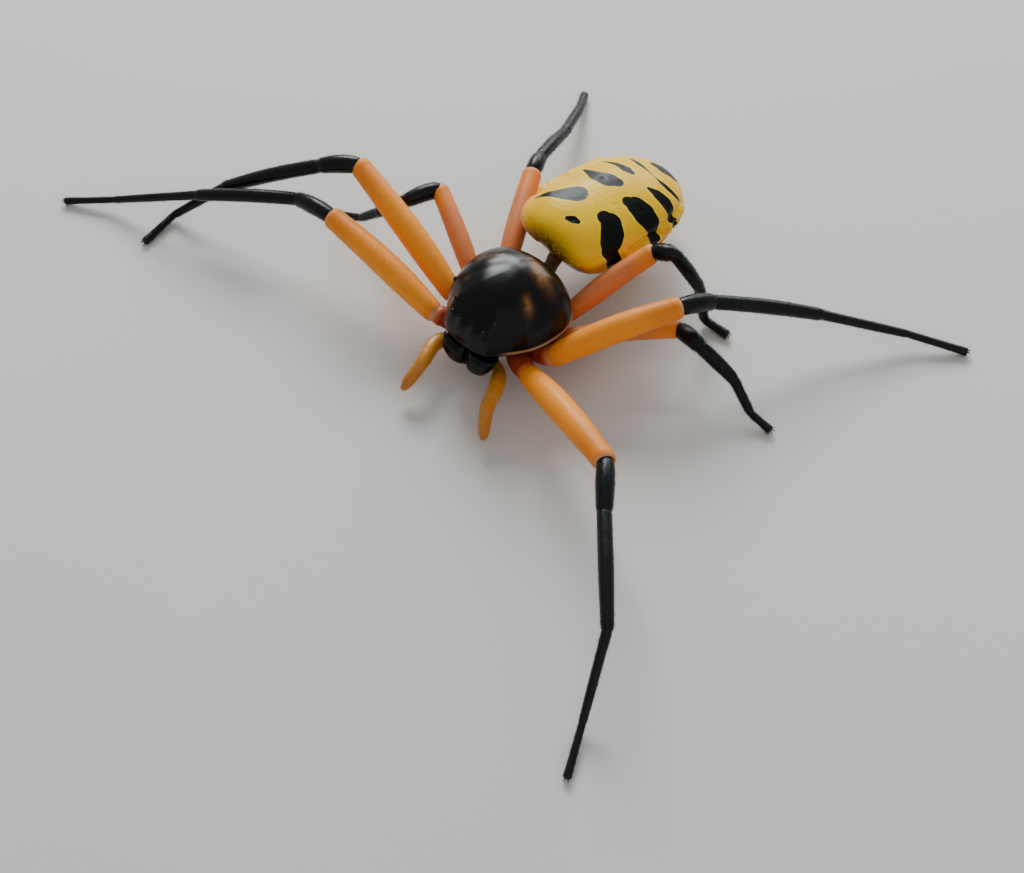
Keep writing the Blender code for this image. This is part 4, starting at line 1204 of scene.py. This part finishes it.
def sternum_shape():
    """The shield-shaped breastplate, narrower behind, with the flesh above it, the lip and two lobes."""
    turn = np.linspace(0, 2 * np.pi, 96, endpoint=False)
    middle, half = 0.5 * (STERNUM_FRONT + STERNUM_BACK), 0.5 * (STERNUM_BACK - STERNUM_FRONT)
    x, y = np.cos(turn) * (1 - 0.16 * np.sin(turn)), np.sin(turn)
    fine = np.linspace(0, 1, 60)
    places = np.linspace(0, 1, len(STERNUM_LEVELS))
    heights = np.interp(fine, places, [level for level, _ in STERNUM_LEVELS])
    scales = np.maximum(np.interp(fine, places, [scale for _, scale in STERNUM_LEVELS]), 0.02)
    rings = np.stack([
        np.column_stack((x * STERNUM_HALF_WIDTH * scale, middle + y * half * scale,
                         np.full(96, STERNUM_BOTTOM + height)))
        for height, scale in zip(heights, scales)])
    shapes = [lofted(rings), capsule((0, -1.45, 1.35), (0, -1.95, 1.3), 0.3)]
    for sign in (-1, 1):
        shapes.append(capsule((sign * 0.42, -1.3, 1.6), (sign * 0.5, -1.8, 1.6), 0.33))
    return joined(shapes)


def pedicel_shape():
    """The waist: a short bar, ringed where it bends, that runs on into the abdomen's skin and is coloured
    fully with painted shade.
    """
    share = np.linspace(0, 1, 50)
    start, end = np.array((0, STERNUM_BACK + JOINT_GAP, 2.2)), np.array(PEDICEL_END)
    end = end + WAIST_OVERLAP * unit(end - start)
    radii = WAIST_RADIUS * np.interp(share, (0, 0.33, 0.67, 1), (1.1, 0.9, 0.9, 1.0))
    radii *= 1 + 0.035 * np.sin(share * 2 * np.pi * WAIST_RIDGES)
    rings, _, _, _ = tube(start + (end - start) * share[:, None], radii)
    # Painted shade over the whole waist.
    return lofted(rings, dusk=np.ones((50, 1)))


def spinneret_shape():
    """Four short spigots on a low hub, and the knob above them, each ringed and blunt."""
    along, left, back = abdomen_axes()
    root = np.array(ABDOMEN_FRONT) + along * ABDOMEN_LENGTH * 0.965 - back * 0.95
    way = unit(along - 0.45 * UP)
    share = np.linspace(0, 1, 30)
    hub = np.interp(share, (0, 0.5, 1), (0.5, 0.58, 0.46))
    hub = hub * np.sqrt(np.clip(1 - (share * 0.96) ** 8, 0.02, 1))
    rings, _, _, _ = tube(root + way * 0.32 * share[:, None], hub)
    shapes = [lofted(rings, place=0.4 * share[:, None])]
    for across, lift in SPIGOTS:
        start = root + left * across + UP * lift + way * 0.1
        flare = unit(way + left * across * 0.6)
        radii = 0.25 * np.sqrt(np.clip(1 - (share * 0.99) ** 4, 0.01, 1))
        radii *= 1 - 0.1 * hump(share - 0.55, 0.06)
        rings, _, _, _ = tube(start + flare * 0.92 * share[:, None], radii)
        shapes.append(lofted(rings, place=share[:, None]))
    return joined(shapes)


def spinneret_look(colours):
    """Tan skin of the spinnerets, darker towards the tips."""
    look = Look("spinneret_finish", Specular_IOR_Level=0.45)
    cloud = look.noise(0.3, 3)
    grain = look.noise(0.05, 2)
    tip = look.attribute("place").between(0.5, 1.0) * 0.7
    colour = look.mix(tip, colours.flank, colours.coxa)
    look.feed(Base_Color=colour, Roughness=cloud * 0.2 + 0.35, Normal=look.bump(grain, 0.014))
    return look


def all_legs(sizes):
    """The eight legs with a number each: the left ones first."""
    return [Leg(side, pair, sizes) for side in ("left", "right") for pair in LEG_LENGTHS]


def place_of(point):
    """A place of the spider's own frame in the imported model's frame, in metres."""
    return Vector([float(part) for part in (np.array(point) + ORIGIN) * MM])


class SPIDER_OT_body(bpy.types.Operator):
    """Build the carapace, its eyes, the abdomen and the spinnerets"""

    bl_idname = "spider.body"
    bl_label = "Body"
    bl_options = {"REGISTER", "UNDO"}

    def execute(self, context):
        sizes, colours = context.scene.spider_sizes, context.scene.spider_colours
        shell = shell_look(colours, "shell_finish")
        new_piece("carapace_shell", carapace_shape(sizes), shell, "shell_black", "carapace")
        new_piece("eyes", eye_shape(sizes), eye_look(), "shell_black")
        new_piece("abdomen_skin", abdomen_shape(sizes), abdomen_look(colours), "abdomen_yellow", "abdomen")
        new_piece("spinneret_group", spinneret_shape(), spinneret_look(colours), "spinneret_tan",
                  "spinnerets")
        return {"FINISHED"}


class SPIDER_OT_mouthparts(bpy.types.Operator):
    """Build the jaws, the fangs, the palps and the underside"""

    bl_idname = "spider.mouthparts"
    bl_label = "Mouthparts and underside"
    bl_options = {"REGISTER", "UNDO"}

    def execute(self, context):
        colours = context.scene.spider_colours
        jaw = shell_look(colours, "jaw_finish")
        palp = palp_look(colours)
        for side, mirror in (("left", 1), ("right", -1)):
            new_piece("jaw_" + side, chelicera_shape(mirror), jaw, "shell_black", "chelicera_" + side)
            new_piece("fang_" + side, fang_shape(mirror), jaw, "shell_black")
            new_piece("palp_skin_" + side, Palp(side).shape(), palp, "palp_yellow",
                      "palp_" + side)
        underside = underside_look(colours)
        new_piece("breastplate", sternum_shape(), underside, "coxa_rust", "sternum")
        new_piece("waist", pedicel_shape(), underside, "coxa_rust", "pedicel")
        return {"FINISHED"}


class SPIDER_OT_legs(bpy.types.Operator):
    """Build the eight legs and their claws"""

    bl_idname = "spider.legs"
    bl_label = "Legs"
    bl_options = {"REGISTER", "UNDO"}

    def execute(self, context):
        sizes, colours = context.scene.spider_sizes, context.scene.spider_colours
        black = leg_look(colours)
        thighs = {
            "femur_orange": thigh_look(colours, "femur_orange_finish", colours.femur_front),
            "femur_rust": thigh_look(colours, "femur_rust_finish", colours.femur_rear),
        }
        legs = all_legs(sizes)
        for leg in legs:
            slot = "femur_orange" if leg.name[-1] in "12" else "femur_rust"
            new_piece("thigh_" + leg.name, leg.thigh(), thighs[slot], slot,
                      *(part + "_" + leg.name for part in LEG_PARTS[:2]))
            new_piece("shank_" + leg.name, leg.shank(), black, "leg_black",
                      *(part + "_" + leg.name for part in LEG_PARTS[2:]))
        claw = hair_look("claw_finish", colours.leg, colours.hair)
        new_piece("claws", joined([claw_shape(leg) for leg in legs]), claw, "leg_black")
        return {"FINISHED"}


class SPIDER_OT_hair(bpy.types.Operator):
    """Grow the short hair of the legs, the palps and the abdomen"""

    bl_idname = "spider.hair"
    bl_label = "Hair"
    bl_options = {"REGISTER", "UNDO"}

    def execute(self, context):
        sizes, colours = context.scene.spider_sizes, context.scene.spider_colours
        legs = list(enumerate(all_legs(sizes)))
        dark = hair_look("dark_hair_finish", colours.leg, colours.hair)
        pale = hair_look("pale_hair_finish", colours.coxa, colours.pale_hair)
        for side, group in (("left", legs[:4]), ("right", legs[4:])):
            hair = joined([leg_hair(leg, number, sizes) for number, leg in group])
            new_piece("leg_hair_" + side, hair, dark, "leg_black")
        fine = joined([thigh_hair(leg, number, sizes) for number, leg in legs])
        new_piece("thigh_hair", fine, pale, "femur_orange")
        palps = joined([Palp(side).hair(number, sizes) for number, side in enumerate(PALP_PATHS)])
        new_piece("palp_hair", palps, pale, "palp_yellow")
        fuzz = hair_look("abdomen_hair_finish", colours.yellow, colours.pale,
                         colours.marking)
        new_piece("abdomen_hair", abdomen_hair(sizes), fuzz, "abdomen_yellow")
        return {"FINISHED"}


def add_light(name, towards, distance, size, power, tint):
    """A square area light in a direction from the spider's middle, facing it."""
    light = bpy.data.lights.new(name, "AREA")
    light.shape = "SQUARE"
    light.size = size
    light.energy = power
    light.color = tint
    item = bpy.data.objects.new(name, light)
    bpy.context.scene.collection.objects.link(item)
    way = Vector(towards).normalized()
    item.location = place_of((0, 2, 3)) + way * distance
    item.rotation_euler = way.to_track_quat("Z", "Y").to_euler()


class SPIDER_OT_studio(bpy.types.Operator):
    """Build the pale floor, the soft lights and the camera"""

    bl_idname = "spider.studio"
    bl_label = "Studio"
    bl_options = {"REGISTER", "UNDO"}

    def execute(self, context):
        scene = context.scene
        ground = bpy.data.meshes.new("floor")
        corners = [(x * FLOOR_EDGE, y * FLOOR_EDGE, -FLOOR_DROP)
                   for x, y in ((-1, -1), (1, -1), (1, 1), (-1, 1))]
        ground.from_pydata(corners, [], [(0, 1, 2, 3)])
        ground.materials.append(floor_look(scene.spider_colours).material)
        floor = bpy.data.objects.new("floor", ground)
        scene.collection.objects.link(floor)
        world = bpy.data.worlds.new("studio")
        world.use_nodes = True
        backdrop = world.node_tree.nodes["Background"]
        backdrop.inputs["Color"].default_value = WORLD_TINT
        backdrop.inputs["Strength"].default_value = WORLD_STRENGTH
        scene.world = world
        for name, settings in LIGHTS.items():
            add_light(name, *settings)
        camera = bpy.data.cameras.new("camera")
        camera.sensor_width = SENSOR_WIDTH
        camera.lens = FOCAL_PIXELS / IMAGE_WIDTH * SENSOR_WIDTH
        camera.clip_start = CAMERA_NEAR
        item = bpy.data.objects.new("camera", camera)
        scene.collection.objects.link(item)
        turn, rise = math.radians(CAMERA_AZIMUTH), math.radians(CAMERA_ELEVATION)
        way = Vector((math.sin(turn) * math.cos(rise), -math.cos(turn) * math.cos(rise), math.sin(rise)))
        item.location = place_of(CAMERA_TARGET) + way * CAMERA_DISTANCE * MM
        item.rotation_euler = way.to_track_quat("Z", "Y").to_euler()
        scene.camera = item
        return {"FINISHED"}


OPERATORS = (SPIDER_OT_body, SPIDER_OT_mouthparts, SPIDER_OT_legs, SPIDER_OT_hair, SPIDER_OT_studio)


class SPIDER_PT_panel(bpy.types.Panel):
    """Sidebar panel with the spider's sizes, colours and operators."""

    bl_idname = "SPIDER_PT_panel"
    bl_label = "Giant crab spider"
    bl_space_type = "VIEW_3D"
    bl_region_type = "UI"
    bl_category = "Spider"

    def draw(self, context):
        for operator in OPERATORS:
            self.layout.operator(operator.bl_idname)
        for group in (context.scene.spider_sizes, context.scene.spider_colours):
            for key in group.__annotations__:
                self.layout.prop(group, key)


CLASSES = (SpiderSizes, SpiderColours, *OPERATORS, SPIDER_PT_panel)


def register():
    for kind in CLASSES:
        bpy.utils.register_class(kind)
    bpy.types.Scene.spider_sizes = bpy.props.PointerProperty(type=SpiderSizes)
    bpy.types.Scene.spider_colours = bpy.props.PointerProperty(type=SpiderColours)


def unregister():
    del bpy.types.Scene.spider_sizes
    del bpy.types.Scene.spider_colours
    for kind in reversed(CLASSES):
        bpy.utils.unregister_class(kind)


def main():
    register()
    bpy.ops.spider.body()
    bpy.ops.spider.mouthparts()
    bpy.ops.spider.legs()
    bpy.ops.spider.hair()
    bpy.ops.spider.studio()


if __name__ == "__main__":
    main()
